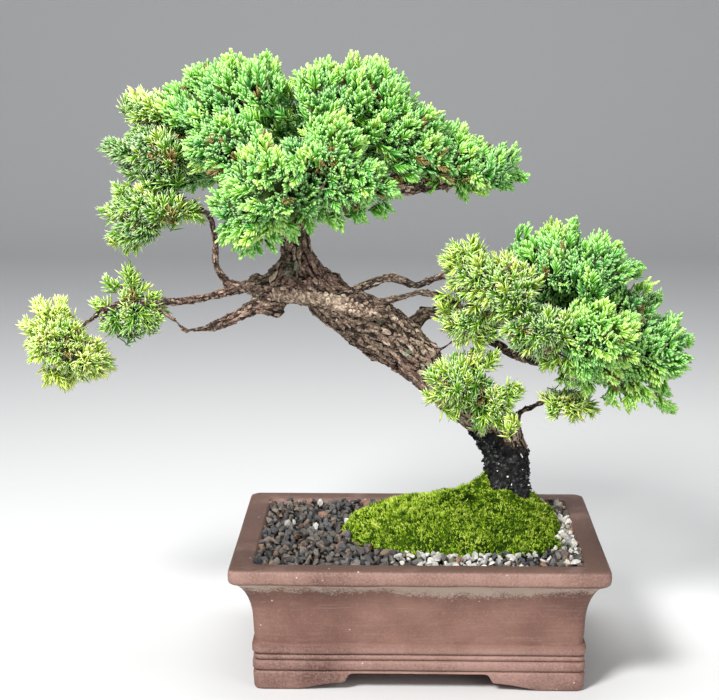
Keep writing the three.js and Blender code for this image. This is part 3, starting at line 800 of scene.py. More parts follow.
def spreadOver(group, slot, layer, settings):
    # for each spray or shoot of one mass: its start, way, size, tint, whether it is dead, and its pad
    kind, members, form = settings[slot], groups[group], groupForms[group]
    spacing, depth, depthShade, scale, brownShare = layer
    area = surfacePoints(form, 10)[2]
    places, normals, _ = surfacePoints(form, int(settings["tries"] * area / (spacing * mm) ** 2))
    kept = thinned(places, spacing * mm)
    places, normals = places[kept], normals[kept]
    owner = columns(*[farFrom(padTrees[name], places) for name in members]).argmin(1)
    inPot = inPotFrame(places)
    free = np.array([slotOf[name] == slot for name in members])[owner]
    free &= farFrom(woodTree, places) >= settings["woodGap"] * mm
    if depth == 0:
        free &= ~onAny(inPot, settings["bare"]) | (inPot[:, 1] > settings["bareBack"])
    free[free] = [not covered(group, probe) for probe in (places + normals * settings["hidden"] * mm)[free]]
    places, normals, owner, inPot = (values[free] for values in (places, normals, owner, inPot))
    heartOf = thinned(places, settings["clump"] * mm)
    hearts, facing = places[heartOf], normals[heartOf]
    mine = np.linalg.norm(places[:, None] - hearts[None], axis=2).argmin(1)
    if depth == 0:
        for index, heart in enumerate(hearts):
            clumpHearts[members[owner[mine == index][0]]].append(heart)
    offset = places - hearts[mine]
    offset -= normals * (offset * normals).sum(1)[:, None]
    share = np.clip(np.linalg.norm(offset, axis=1) / (settings["clump"] * settings["clumpReach"] * mm), 0, 1)
    rise = dice.normal(0, settings["clumpRise"], len(hearts))[mine]
    height = kind["dome"] * (1 - share**2) - kind["sink"] + rise + depth
    height += dice.normal(0, settings["rough"], len(places))
    # the sprays of one clump grow much the same way: outwards and up
    whole = placesOf(form)
    flow = (hearts - (whole.min(0) + whole.max(0)) / 2) * settings["flowShape"] / (settings["flowReach"] * mm)
    flow /= np.maximum(np.linalg.norm(flow, axis=1), 1)[:, None]
    way = facing * kind["outwards"] + flow * kind["flow"]
    way += unit(dice.normal(0, 1, (len(hearts), 3))) * settings["clumpLean"]
    way[:, 2] += kind["lean"] * smoothStep(*settings["upFrom"], facing[:, 2])
    way = unit(way)[mine]
    along = way + settings["upright"] * normals + unit(offset) * (share * kind["splay"])[:, None]
    along = unit(along + dice.normal(0, settings["stray"], along.shape))
    size = scale * dice.uniform(*settings["sizes"], len(places))
    base = places + unit(way + normals) * (height * mm)[:, None] - along * (kind["reach"] * size * mm)[:, None]
    # the inner layer's lower tint is painted shade inside the foliage
    tints = np.array([tintOf(name) for name in members])[owner] + depthShade
    tint, fringe = settings["tintShares"], settings["fringe"]
    tints = tints + dice.normal(0, tint["clump"], len(hearts))[mine] + dice.normal(0, tint["spray"], len(places))
    # painted shade toward each clump's rim, and painted light where a spray faces up
    tints = tints - tint["rim"] * share + tint["heart"] + tint["top"] * smoothStep(0, 1, normals[:, 2])
    hanging = smoothStep(*fringe["height"], inPot[:, 2]) * smoothStep(*fringe["facing"], normals[:, 2])
    hanging = hanging * (inPot[:, 0] < fringe["leftOf"]) * (group == "crown") * (slot == "scale_leaf")
    tints = np.clip(tints + fringe["tint"] * hanging, *tint["limits"])
    more, lumpSize, above = settings["brownLumps"]
    browning = brownShare + more * (lumps(places, lumpSize * mm, 5) > above)
    patches = onAny(inPot, settings["brown"]) & (inPot[:, 1] < settings["patchBack"])
    inner, outer = settings["patchShares"]
    dead = dice.random(len(places)) < np.maximum(browning, (inner if depth else outer) * patches)
    tints[dead] = dice.uniform(*settings["brownTints"], dead.sum())
    kept = ~((share > settings["rim"]) & (dice.random(len(places)) < settings["gapShare"])) | (depth < 0)
    kept &= dice.random(len(places)) < np.array([settings["loose"].get(name, 1) for name in members])[owner]
    return [values[kept] for values in (base, along, size, tints, dead, owner)]


def added(spread, *more):
    return [np.concatenate(pair) for pair in zip(spread, more)]


def overBareCore(name, spread, settings):  # more sprays or shoots where the layers leave the core bare
    kind, cover, form = settings[slotOf[name]], settings["cover"], padForms[name]
    base, along, size, *_ = spread
    places, normals = placesOf(form), normalsOf(form)
    outside = farFrom(treeOf(groupForms[groupOf(name)]), places) < cover["within"] * mm
    places, normals = places[outside], normals[outside]
    reach = (kind["reach"] * mm) * size[:, None] * along
    marks = np.concatenate([base + reach * share for share in cover["marks"]])
    probes = places - normals * (kind["shadeCoreDepth"] - cover["above"]) * mm
    bare = np.array([np.linalg.norm(marks - probe, axis=1).min() for probe in probes]) > cover["apart"] * mm
    if not bare.any():
        return spread
    places, normals = places[bare], normals[bare]
    kept = thinned(places, cover["spacing"] * mm)
    places, normals = places[kept], normals[kept]
    count = len(places)
    aim = unit(normals + dice.normal(0, cover["stray"], (count, 3)) + cover["upwards"])
    wide = dice.uniform(*cover["sizes"], count)
    start = places - normals * (cover["deep"] * mm) - aim * (kind["reach"] * mm * wide)[:, None]
    # the added sprays are darker: painted shade deep in the pad
    tints = dice.normal(tintOf(name) + cover["tint"], cover["tints"], count)
    return added(spread, start, aim, wide, np.clip(tints, *settings["addedTints"]), np.zeros(count, bool))


def withTufts(name, spread, settings):  # tufts that stand out of the outline
    tuft = settings["tuft"]
    for x, y, z, lean, count, *ownTint in settings["tufts"].get(name, []):
        lean = math.radians(lean)
        aim = unit(np.array([math.sin(lean), 0, math.cos(lean)]) + dice.normal(0, tuft["splay"], (count, 3)))
        start = np.array(fromPot(x, y, z)) + dice.normal(0, tuft["stray"] * mm, (count, 3))
        start -= aim * settings[slotOf[name]]["tuftReach"] * mm
        clumpHearts[name].append(start.mean(0))
        mean = ownTint[0] if ownTint else tintOf(name) + dice.normal(0, tuft["tint"])
        brown = bool(ownTint) and mean > tuft["brownFrom"]
        size = dice.uniform(*settings["sizes"], count)
        tints = dice.uniform(*settings["brownTints"], count) if brown else dice.normal(mean, tuft["ownTint"], count)
        tints = tints if brown else np.clip(tints, *settings["addedTints"])
        spread = added(spread, start, aim, size, tints, np.full(count, brown))
    return spread


def notchedOut(places, notches):  # which places a notch holds, and the places moved out to its edge
    held = np.zeros(len(places), bool)
    moved = places.copy()
    for x, z, radius, behind in notches:
        middle = np.array(fromPot(x, 0, z))[[0, 2]]
        away = moved[:, [0, 2]] - middle
        far = np.linalg.norm(away, axis=1)
        mine = (far < radius * mm) & (places[:, 1] > behind * mm)
        held |= mine
        moved[np.ix_(mine, [0, 2])] = middle + away[mine] * (radius * mm / np.maximum(far[mine], 1e-6))[:, None]
    return held, moved


def shadeCoreOf(name, kind, notches):  # a dark sheet inside a pad: painted shade for the shaded inside of the foliage
    form = padForms[name]
    places, normals = placesOf(form), normalsOf(form)
    inwards = (kind["shadeCoreDepth"] + 2 * lumps(places, 9 * mm, 3)) * mm  # but less than half of what is there
    inwards = np.minimum(inwards, 0.42 * thicknessAt(treeOf(form), places, normals, 0.1))
    places = notchedOut(places - normals * inwards[:, None], notches)[1]
    shade = np.clip(0.6 + 0.4 * lumps(places, 5 * mm, 9), 0.05, 0.6)
    return places, trianglesOf(form), columns(0.982 + 0.014 * lumps(places, 6 * mm, 2), shade)


def foliagePiece(name, templates, spread, settings):
    slot, notches = slotOf[name], settings["notches"]
    kind = settings[slot]
    spread = withTufts(name, overBareCore(name, spread, settings), settings)
    base, along, size, *_ = spread
    tips = base + along * (size * kind["reach"] * mm)[:, None]
    free = ~(notchedOut(tips, notches)[0] | notchedOut(0.4 * base + 0.6 * tips, notches)[0])
    base, along, size, tints, dead = (values[free] for values in spread)
    turns = frames(along, dice.uniform(0, 2 * math.pi, len(along)))
    which = dice.integers(0, kindCount, len(along))
    parts = []
    for index, template in enumerate(templates):
        chosen = which == index
        across = tints[chosen][:, None] + template[2][:, 0]
        # the living stay within the greens, from 0.05 to 0.82, and the dead close to the middle of the browns
        paler, darker = 0.82 + (across - 0.82) * 0.15, 0.05 + (across - 0.05) * 0.1
        living = np.where(across > 0.82, paler, np.where(across < 0.05, darker, across))
        across = np.where(dead[chosen][:, None], 0.925 + (across - 0.925) * 0.08, living)
        mapPlaces = columns(across, np.broadcast_to(template[2][:, 1], across.shape))
        copies = copiesOf(template, turns[chosen], (size[chosen] * mm)[:, None], base[chosen])
        parts.append((*copies, mapPlaces.reshape(-1, 2)))
    parts.append(shadeCoreOf(name, kind, notches))
    piece = pieceOfTriangles(name.replace("pad_", "foliage_"), *joinedArrays(parts))
    finishPiece(piece, slot, leafPaints[slot], name)
    return len(piece.data.polygons)


leafPaints = {slot: leafPaint(slot + "_paint", settings) for slot, settings in leafColours.items()}
total = 0
for group, members in groups.items():
    for slot, templates in (("scale_leaf", sprays), ("needle_leaf", shoots)):
        if not any(slotOf[name] == slot for name in members):
            continue
        layers = [spreadOver(group, slot, layer, padSettings) for layer in padSettings[slot]["layers"]]
        *spread, owner = (np.concatenate(values) for values in zip(*layers))
        for index, name in enumerate(members):
            if slotOf[name] == slot:
                total += foliagePiece(name, templates, [values[owner == index] for values in spread], padSettings)
print("foliage triangles", total)

# Wood: bark plates along the grain with crevices between them, and a black crust at the trunk's foot
barkSettings = {
    "voxel": 1.15,
    "rounds": 60,
    "settleRounds": 3,
    # raised parts, [x, y, z, radius]: the limb that crosses the front, and lumps of the knot
    "frontLimb": [
        (-98, -14, 258.6, 4.2), (-86, -14.5, 257.6, 4.5), (-75, -14.5, 257, 4.6), (-64, -15, 255, 4.9),
        (-51, -15, 251, 5.2), (-40, -14.5, 247.8, 4.8), (-28, -12, 244.7, 4.6), (-18, -8, 240, 4.2),
        (-8.5, -5, 231.5, 3.6),
    ],
    "lumps": [
        (-105, -11, 250, 6), (-112, -8, 254, 4.6), (-99, -9, 247, 4.6), (-112.6, -6, 268.5, 4), (-117, -7, 263, 4.4),
        (-109, -11, 262, 5), (-90.5, -6, 276, 8.6), (-82, -4, 279, 6), (-71, -2, 271, 6.5), (-30, -9, 232, 4),
        (-12, -7, 219, 4.4), (3, -5, 207, 4), (-20, -9, 224, 3.6),
    ],
    # pressed in at the neck's right side: [x, y, z, radius, depth]
    "dents": [(-62, 0, 281, 15, 7), (-68, 0, 291, 13, 5)],
    # pressed-in seam between the limb and the lower bark
    "seam": [
        (-50, -14, 243, 2.4), (-38, -13, 241, 2.6), (-28, -12, 238.5, 2.8), (-18, -11, 231, 2.8), (-9, -9, 222, 2.4),
    ],
    "seamDepth": 1.0,
    # plates at two sizes: [spacing, length to width, crevice depth and width, shares of the relief and the crevices]
    "plates": [(7.6, 2.6, 1.9, 1.7, 1, 1), (3.2, 2.2, 0.4, 0.7, 0.45, 0.5)],
    "plateLift": 1.1,
    "plateWarp": 1.3,
    "tilt": 0.7,
    "streak": 0.1,
    "knots": 1.3,
    # how much calmer the pale limb is: its crevices, its plates and its knots
    "calm": (0.8, 0.75, 0.6),
    # wood this thick has hardly any of the bark's relief, and wood this much thicker has all of it
    "thin": 2.5,
    "thicker": 17,
    "relief": (-2.6, 2.4),
    # below this height the trunk stands in the soil
    "inSoil": 84,
    # black crust: the trunk's foot, [x, y, radius], how high the crust reaches there, and how its top slopes
    "foot": (63, 15, 26),
    "crustTop": 154,
    "crustEdge": 6,
    "crustSlope": -0.7,
    "crustMiddle": 62,
    "crustLump": 1.7,
    "crustSwell": 1.2,
    # lichen: [x, y, z, radius]
    "lichen": [(-89, -14, 277, 6.5), (-28, -13, 239, 4), (-22, -12, 234, 3), (-9, -9, 217, 4.5), (2, -10, 209, 3)],
    # how light the wood is, how much lighter the lower trunk, the knot's top and the pale limb are, and its mottling
    "light": 0.33,
    "lowerTrunk": {"x": (-30, 12), "light": 0.27, "thickFrom": 9},
    "knotTop": {"z": (262, 275), "light": 0.06},
    "limbLight": 0.26,
    "limbEnd": (-12, -34),
    "mottles": [(0.1, 16, 61), (0.08, 3, 62)],  # [share, size, seed]
}


def nearRoute(places, route):  # how far places lie from a line of points, in its radii
    best = np.full(len(places), 1e9)
    for (*first, firstRadius), (*last, lastRadius) in zip(route, route[1:]):
        start, end = np.array(fromPot(*first)), np.array(fromPot(*last))
        run = end - start
        share = np.clip((places - start) @ run / (run @ run), 0, 1)
        apart = np.linalg.norm(places - start - share[:, None] * run, axis=1) / mm
        best = np.minimum(best, apart / (firstRadius + (lastRadius - firstRadius) * share))
    return best


def beadsAlong(route):
    route = np.array(route, float)
    return [tuple(a + (b - a) * share) for a, b in zip(route, route[1:]) for share in np.arange(0, 1, 0.1)]


def makeBeads(beads):  # round beads, [x, y, z, radius], as one mesh
    template = templateOf(primitive(bpy.ops.mesh.primitive_ico_sphere_add, "bead", subdivisions=3, radius=1))
    centres = np.array([fromPot(x, y, z) for x, y, z, _ in beads])
    sizes = np.array([[radius] for *_, radius in beads]) * mm
    turns = np.repeat(np.eye(3)[None], len(beads), axis=0)
    return pieceOfTriangles("beads", *copiesOf(template, turns, sizes, centres))


def grainOf(piece, links):  # the direction in which the surface bends least
    normals = normalsOf(piece)
    spread = np.einsum("ni,nj->nij", normals, normals).reshape(-1, 9)
    spread = relaxed(spread, links, 70, 0.3, 0.7)
    return np.linalg.eigh(spread.reshape(-1, 3, 3))[1][:, :, 0]


def nearestPlates(places, grain, spacing, long):
    # for each place: how far it lies from its plate's edge, its plate, how far along it, and the number of plates
    seeds = places[thinned(places, spacing)]
    finder = KDTree(len(seeds))
    for index, seed in enumerate(seeds.tolist()):
        finder.insert(seed, index)
    finder.balance()
    near = np.array([[found[1] for found in finder.find_n(place, 10)] for place in places.tolist()])
    offset = (places[:, None] - seeds[near]) / mm
    run = (offset * grain[:, None]).sum(2)
    reach = np.sqrt(np.maximum((offset**2).sum(2) - run**2, 0) + (run / long) ** 2)
    first, second = reach.argsort(1)[:, :2].T
    rows = np.arange(len(places))
    return reach[rows, second] - reach[rows, first], near[rows, first], run[rows, first], len(seeds)


def barkMasks(places, settings):  # shares of black crust, lichen and pale limb at these places
    inPot = inPotFrame(places)
    x, y, radius = settings["foot"]
    foot = np.linalg.norm(inPot[:, :2] - [x, y], axis=1) < radius
    crustTop = settings["crustTop"] + settings["crustEdge"] * lumps(places, 9 * mm, 31)
    crustTop += settings["crustSlope"] * (inPot[:, 0] - settings["crustMiddle"])
    crust = foot * smoothStep(4, -4, inPot[:, 2] - crustTop)
    lichen = np.zeros(len(places))
    for *place, radius in settings["lichen"]:
        apart = np.linalg.norm(inPot - place, axis=1)
        lichen = np.maximum(lichen, smoothStep(1.1, 0.5, apart / radius + 0.5 * lumps(places, 3 * mm, 41)))
    limb = smoothStep(1.35, 1.1, nearRoute(places, settings["frontLimb"]))
    limb = limb * smoothStep(*settings["limbEnd"], inPot[:, 0])
    return inPot, crust, lichen, limb


def barkTone(inPot, places, thick, limb, settings):  # how light the bark is before its plates and crevices
    lower, knot = settings["lowerTrunk"], settings["knotTop"]
    tone = settings["light"] + lower["light"] * smoothStep(*lower["x"], inPot[:, 0]) * (thick > lower["thickFrom"])
    tone += knot["light"] * smoothStep(*knot["z"], inPot[:, 2])
    tone += sum(share * lumps(places, size * mm, seed) for share, size, seed in settings["mottles"])
    return tone + limb * settings["limbLight"]


def trunkThickness(places, normals, links):
    thick = np.clip(thicknessAt(woodTree, places, normals, 0.6) / mm, 1, 32)
    return relaxed(thick[:, None], links, 12, 0.4, 0.6)[:, 0]


def drawnIn(places, links, rounds, strength):
    for _ in range(rounds):
        places = places + strength * (aroundMean(places, links) - places)
    return places


def makeTrunk(settings):
    trunk = copyOfNode("trunk_and_branches", "trunk")
    remesh(trunk, settings["voxel"])
    links, places = linksOf(trunk), placesOf(trunk)
    thick = trunkThickness(places, normalsOf(trunk), links)
    strength = (0.6 * np.clip(thick / 14, 0.08, 1))[:, None]
    places = drawnIn(places, links, settings["rounds"], strength)
    shrunk = settings["rounds"] * 0.25 * strength[:, 0] / np.maximum(thick / 2, 1) * 0.8
    setPlaces(trunk, places)
    setPlaces(trunk, places + normalsOf(trunk) * (shrunk * mm)[:, None])
    joined(trunk, makeBeads(settings["lumps"] + beadsAlong(settings["frontLimb"])))
    remesh(trunk, settings["voxel"])
    links, places = linksOf(trunk), placesOf(trunk)
    thick = trunkThickness(places, normalsOf(trunk), links)
    places = drawnIn(places, links, settings["settleRounds"], 0.5)
    for *dent, radius, depth in settings["dents"]:
        near = smoothStep(radius, 0, np.linalg.norm(places - np.array(fromPot(*dent)), axis=1) / mm)
        places = places - normalsOf(trunk) * (near * depth * mm)[:, None]
    setPlaces(trunk, places)
    grain, normals = grainOf(trunk, links), normalsOf(trunk)
    size = np.clip((thick - settings["thin"]) / settings["thicker"], 0.06, 1)
    inPot, crust, lichen, limb = barkMasks(places, settings)
    # fibres: white noise run along the grain
    step = unit(places[links[:, 1]] - places[links[:, 0]])
    weights = np.exp(7 * (np.abs((step * grain[links[:, 0]]).sum(1)) - 1))
    streak = relaxed(dice.normal(0, 1, (len(places), 2)), links, 16, 0.35, 0.65, weights)
    streak = streak / streak.std(0)
    # plates: the nearest of many seeds, measured short along the grain
    warped = places + wander(places, 4 * mm, 21) * settings["plateWarp"] * mm
    crevice, lift, tone = np.zeros((3, len(places)))
    for spacing, long, depth, width, share, creviceShare in settings["plates"]:
        margin, mine, run, seeds = nearestPlates(warped, grain, spacing * mm, long)
        cut = 1 - smoothStep(0.05, width, margin)
        high = dice.random(seeds)[mine]
        seedTone, seedTilt = dice.normal(0, 1, (2, seeds))
        lift += settings["plateLift"] * share * (high - 0.4) * (1 - cut)
        lift += settings["tilt"] * share * seedTilt[mine] * run / spacing * (1 - cut)
        lift -= depth * cut * (0.4 + 0.6 * high)
        tone += (0.07 * seedTone[mine] + 0.1 * (high - 0.5)) * (0.6 + 0.4 * share)
        crevice = np.maximum(crevice, cut * creviceShare)
    calmCrevice, calmPlate, calmKnot = (1 - share * limb for share in settings["calm"])
    crevice *= calmCrevice
    lift *= calmPlate
    lift += settings["streak"] * streak[:, 0]
    lift += settings["knots"] * calmKnot * lumps(places, 12 * mm, 7) + 0.4 * lumps(places, 5 * mm, 8)
    crumbs = settings["crustLump"] * (lumps(places, 3.2 * mm, 51) + 0.6 * np.abs(lumps(places, 1.9 * mm, 52)))
    bare = 0.45 * lumps(places, 5.5 * mm, 9) + 0.3 * lumps(places, 2.4 * mm, 10)
    lift = (lift * size + bare * (1 - size)) * (1 - crust) + (crumbs + settings["crustSwell"]) * crust
    seam = smoothStep(1.2, 0.4, nearRoute(places, settings["seam"]) + 0.3 * lumps(places, 5 * mm, 46))
    lift -= settings["seamDepth"] * seam
    lift[inPot[:, 2] < settings["inSoil"]] *= 0.3
    setPlaces(trunk, places + normals * (np.clip(lift, *settings["relief"]) * mm)[:, None])
    tone = tone + barkTone(inPot, places, thick, limb, settings) + 0.05 * streak[:, 1] - 0.06
    # crevices and the seam are darker: partly the bark's own darker fissures, partly painted shade in them
    tone -= 0.5 * crevice * np.clip(0.3 + size * 1.6, 0, 1) + 0.15 * seam
    tone = tone * (1 - crust) + (0.3 + 0.3 * lumps(places, 2.2 * mm, 53)) * crust
    setTones(trunk, np.clip(columns(tone, lichen, crust), 0, 1))
    trunk.data.shade_smooth()
    return trunk, {"thick": thick, "grain": grain, "crust": crust, "crevice": crevice, "normals": normals}


barkBrowns = [
    (0.05, (24, 19, 15)), (0.25, (58, 46, 38)), (0.45, (98, 82, 69)), (0.65, (142, 122, 104)),
    (0.95, (206, 190, 168)),
]
barkRusts = [
    (0.05, (26, 18, 15)), (0.25, (66, 48, 41)), (0.45, (108, 84, 73)), (0.65, (146, 120, 106)),
    (0.95, (202, 180, 160)),
]
lichenGreens = [(0.1, (44, 46, 36)), (0.45, (98, 104, 84)), (0.9, (156, 162, 140))]
crustGreys = [(0.1, (6, 6, 6)), (0.4, (34, 34, 34)), (0.7, (96, 98, 98)), (0.9, (244, 240, 230))]


def makeBarkPaint():
    paint = Paint("bark", Roughness=0.86, Specular_IOR_Level=0.25)
    place = paint.objectPlace()
    tone, lichen, crust = paint.split(paint.node("ShaderNodeAttribute", {"attribute_name": "tone"}))
    fine, wide, mottle = paint.noise(place, 900, 4), paint.noise(place, 28, 2), paint.noise(place, 330, 3)
    mixed = tone + (fine - 0.5) * 1.0 + (mottle - 0.5) * 0.75
    wood = paint.mix(paint.grey(wide, 0.45, 0.62), paint.ramp(mixed, barkBrowns), paint.ramp(mixed, barkRusts))
    flecks = paint.noise(paint.objectPlace((1, 1, 1.6)), 520, 3, 0.6)
    wood = paint.mix(paint.grey(flecks, 0.56, 0.68) * 0.36, wood, (196, 176, 156))
    wood = paint.mix((1 - paint.grey(flecks, 0.34, 0.46)) * 0.55, wood, (34, 25, 20))
    growth = paint.grey(lichen + (mottle - 0.5) * 2 + (fine - 0.5) * 1.2, 0.35, 0.75) * 0.7
    wood = paint.mix(growth, wood, paint.ramp(mixed, lichenGreens))
    paint.set("Base Color", paint.mix(crust, wood, paint.ramp(tone + (fine - 0.5) * 0.8, crustGreys)))
    paint.bump(paint.noise(place, 1400, 3), 0.0004, 0.8)
    return paint


trunk, wood = makeTrunk(barkSettings)
barkPaint = makeBarkPaint()
finishPiece(trunk, "bark", barkPaint, "trunk_and_branches")
print("trunk faces", len(trunk.data.polygons))

scaleSettings = {
    # kinds of wood: [thinnest, thickest, spacing, sides]
    "kinds": [(11, 99, 3.1, 7), (5.5, 11, 2.6, 6), (0, 5.5, 2.2, 5)],
    # half their length and width in spacings, what the pale limb's have less or more, and how they vary
    "long": 1.15,
    "limbLong": -0.6,
    "longs": (0.5, 1.5),
    "wide": 0.46,
    "limbWide": 0.2,
    "wides": (0.6, 1.4),
    "turns": 0.22,
    "uneven": (0.7, 1.25),
    "square": 0.75,
    # at the usual spacing: how high they stand, what the pale limb's have less, and their tilt and root
    "usual": 3.1,
    "lift": 1.25,
    "lifts": (0.15, 1.1),
    "limbLift": -0.5,
    "lowest": 0.1,
    "tilt": 0.5,
    "root": 0.6,
    "tints": 0.09,
    "edgeTints": (-0.1, 0.12),
    # the dark sides of each scale: painted shade under its edge
    "skirtShade": 0.02,
}


def makeScales(settings):  # thin uneven scales of bark over the trunk and branches
    places, tree = placesOf(trunk), treeOf(trunk)
    inPot, crust, lichen, limb = barkMasks(places, barkSettings)
    base = barkTone(inPot, places, wood["thick"], limb, barkSettings)
    parts, allTones = [], []
    for thinnest, thickest, spacing, sides in settings["kinds"]:
        fit = (wood["thick"] > thinnest) & (wood["thick"] <= thickest) & (wood["crust"] < 0.3)
        fit = dice.permutation(np.flatnonzero(fit & (wood["crevice"] < 0.5) & (places[:, 2] > 0.1)))
        seeds = fit[thinned(places[fit], spacing * mm)]
        count, onLimb = len(seeds), limb[seeds][:, None]
        normal, along = wood["normals"][seeds], wood["grain"][seeds]
        along = unit(along - normal * (along * normal).sum(1)[:, None])
        across = np.cross(normal, along)
        turn = dice.normal(0, settings["turns"], count)[:, None]
        along, across = along * np.cos(turn) + across * np.sin(turn), across * np.cos(turn) - along * np.sin(turn)
        long = settings["long"] * (1 + settings["limbLong"] * onLimb)
        long = spacing * long * dice.uniform(*settings["longs"], (count, 1))
        wide = settings["wide"] * (1 + settings["limbWide"] * onLimb)
        wide = spacing * wide * dice.uniform(*settings["wides"], (count, 1))
        index = np.arange(sides)
        angle = (index + dice.uniform(-0.3, 0.3, (count, sides))) * 2 * math.pi / sides
        x, y = (
            half * np.sign(wave) * np.abs(wave) ** settings["square"] * dice.uniform(*settings["uneven"], angle.shape)
            for half, wave in ((long, np.cos(angle)), (wide, np.sin(angle)))
        )
        outline = places[seeds][:, None] + (along[:, None] * x[..., None] + across[:, None] * y[..., None]) * mm
        found = [tree.find_nearest(Vector(place))[0] for place in outline.reshape(-1, 3).tolist()]
        outline = np.array(found).reshape(outline.shape)
        grow = (spacing / settings["usual"]) * (1 + settings["limbLift"] * limb[seeds])
        lift = settings["lift"] * grow * dice.uniform(*settings["lifts"], count)
        tilt = settings["tilt"] * (grow * dice.normal(0, 1, count))[:, None] * x / long
        up = normal[:, None] * mm
        top = outline + up * np.maximum(lift[:, None] + tilt, settings["lowest"])[..., None]
        middle = top.mean(1, keepdims=True) + up * 0.15
        # one point in the middle, a ring at the top and a ring at the foot
        points, after = 2 * sides + 1, (index + 1) % sides
        fan = columns(index * 0, 1 + index, 1 + after)
        skirt = columns(1 + sides + index, 1 + sides + after, 1 + after)
        hem = columns(1 + sides + index, 1 + after, 1 + index)
        corners = repeated(np.concatenate([fan, skirt, hem]), count, points)
        tone = (base[seeds] + dice.normal(0, settings["tints"], count) + 0.12 * lift / grow)[:, None]
        edge = tone + dice.uniform(*settings["edgeTints"], (count, sides))
        # the skirt ring is nearly black: painted shade under the scale
        tones = np.concatenate([tone, edge, np.full((count, sides), settings["skirtShade"])], axis=1)
        others = columns(lichen[seeds], np.zeros(count))[:, None]
        others = np.broadcast_to(others, (count, points, 2))
        allTones.append(np.concatenate([tones[..., None], others], axis=2).reshape(-1, 3))
        flat = columns(x, y) / (1.4 * spacing * 1.9)  # each scale's own place on the map
        maps = np.concatenate([flat.mean(1, keepdims=True), flat, flat * 1.3], axis=1)
        parts.append((np.concatenate([middle, top, outline - up * settings["root"]], axis=1), corners, maps))
    side = math.ceil(math.sqrt(sum(len(maps) for *_, maps in parts)))
    first = 0
    for index, (places, corners, maps) in enumerate(parts):
        cell = np.arange(first, first + len(maps))
        cells = columns(cell % side, cell // side)[:, None] + 0.5
        maps = ((cells + np.clip(maps, -0.48, 0.48)) / side).reshape(-1, 2)
        parts[index] = (places.reshape(-1, 3), corners, maps)
        first += len(cell)
    scales = pieceOfTriangles("bark_scales", *joinedArrays(parts), smooth=False)
    setTones(scales, np.clip(np.concatenate(allTones), 0, 1))
    finishPiece(scales, "bark", barkPaint)
    return len(scales.data.polygons)


print("bark scale triangles", makeScales(scaleSettings))

twigSettings = {
    "steps": 6,
    "sides": 5,
    "start": 1.3,
    "end": 0.55,
    "widths": (0.8, 1.2),
    "sag": 0.12,
    "bends": 2,
    "kinks": 0.5,
    "tint": 0.45,
    "tintLumps": 0.12,
    # twigs with a set way
    "routes": [
        [(-170, -8, 240), (-173, -7, 241.5), (-177, -6, 244.5), (-181, -5, 248), (-186, -4, 250.5), (-194, -3, 254)],
        [(-181, -5, 248), (-187, -6, 245), (-193, -6, 243), (-199, -5, 240), (-206, -4, 239), (-214, -3, 240)],
    ],
}


def tubes(routes, radii, sides):  # round tubes along many routes of the same length
    count, steps = routes.shape[:2]
    along = unit(np.gradient(routes, axis=1)).reshape(-1, 3)
    turns = frames(along, np.zeros(len(along))).reshape(count, steps, 3, 3)
    angle = np.arange(sides) * 2 * math.pi / sides
    ring = columns(np.cos(angle), np.sin(angle), np.zeros(sides))
    places = np.einsum("nskj,rj->nsrk", turns, ring) * radii[:, :, None, None] + routes[:, :, None, :]
    index = np.arange(steps * sides).reshape(steps, sides)
    a, b = index[:-1], index[1:]
    c, d = np.roll(b, -1, axis=1), np.roll(a, -1, axis=1)
    quads = columns(a, d, c, a, c, b).reshape(-1, 3)
    caps = [[index[-1, 0], index[-1, i], index[-1, i + 1]] for i in range(1, sides - 1)]
    return places.reshape(-1, 3), repeated(np.concatenate([quads, caps]), count, steps * sides)


def makeTwigs(settings):  # thin twigs from the wood to the heart of each clump
    steps = settings["steps"]
    routes = [np.array([fromPot(*place) for place in route]) for route in settings["routes"]]
    share = np.linspace(0, 1, steps)[:, None]
    for name, hearts in clumpHearts.items():
        low, high = padBoxes[name]
        middle = np.array((low + high) / 2)
        for heart in hearts:
            near = np.array(woodTree.find_nearest(Vector(heart * 0.5 + middle * 0.5))[0])
            bend = between((near + heart) / 2, middle, 0.3)
            bend = bend + dice.normal(0, settings["bends"] * mm, 3)
            bend = bend - [0, 0, settings["sag"] * np.linalg.norm(heart - near)]
            route = near * (1 - share) ** 2 + bend * 2 * share * (1 - share) + heart * share**2
            route[1:-1] += dice.normal(0, settings["kinks"] * mm, (steps - 2, 3))
            routes.append(route)
    radii = np.linspace(settings["start"], settings["end"], steps)[None] * mm
    radii = radii * dice.uniform(*settings["widths"], (len(routes), 1))
    twigs = pieceOfTriangles("fine_twigs", *tubes(np.array(routes), radii, settings["sides"]))
    tone = settings["tint"] + settings["tintLumps"] * lumps(placesOf(twigs), 4 * mm, 71)
    setTones(twigs, columns(tone, tone * 0, tone * 0))
    finishPiece(twigs, "bark", barkPaint)


makeTwigs(twigSettings)
print("twigs made")

# Stones, and crumbs of black grit and a few pale ones, stuck to the trunk's foot
stoneSettings = {"kinds": 7, "points": 13, "uneven": (0.8, 1.0), "shape": (1.25, 0.95, 0.75)}
crumbSettings = {
    "count": 1000,
    "size": (0.6, 1.7),
    "shape": (0.75, 1.25),
    "sink": 0.25,
    "lowest": 92,
    "tint": 0.22,
    "tintRange": 0.52,
    "tintLimits": (0.1, 0.74),
    "paleTint": 0.9,
    "paleShape": (1, 0.8, 0.85),
    # pale crumbs: [x, z, radius] in the picture's plane
    "pale": [
        (72.5, 142, 2.0), (56, 131, 1.0), (63, 127, 1.1), (70, 149, 0.9), (57, 136, 0.7), (74, 131, 0.9),
        (50, 145, 0.8), (66, 121, 0.9), (78, 119, 1.3), (61, 117.5, 2.4),
    ],
}


def closedShape(name, places, faces, close, *move):  # places made a closed body by one operator
    mesh = bpy.data.meshes.new(name)
    mesh.from_pydata(places, [], faces)
    piece = addObject(name, mesh)
    startEdit(piece)
    close(*move)
    endEdit(turned=True)
    return piece


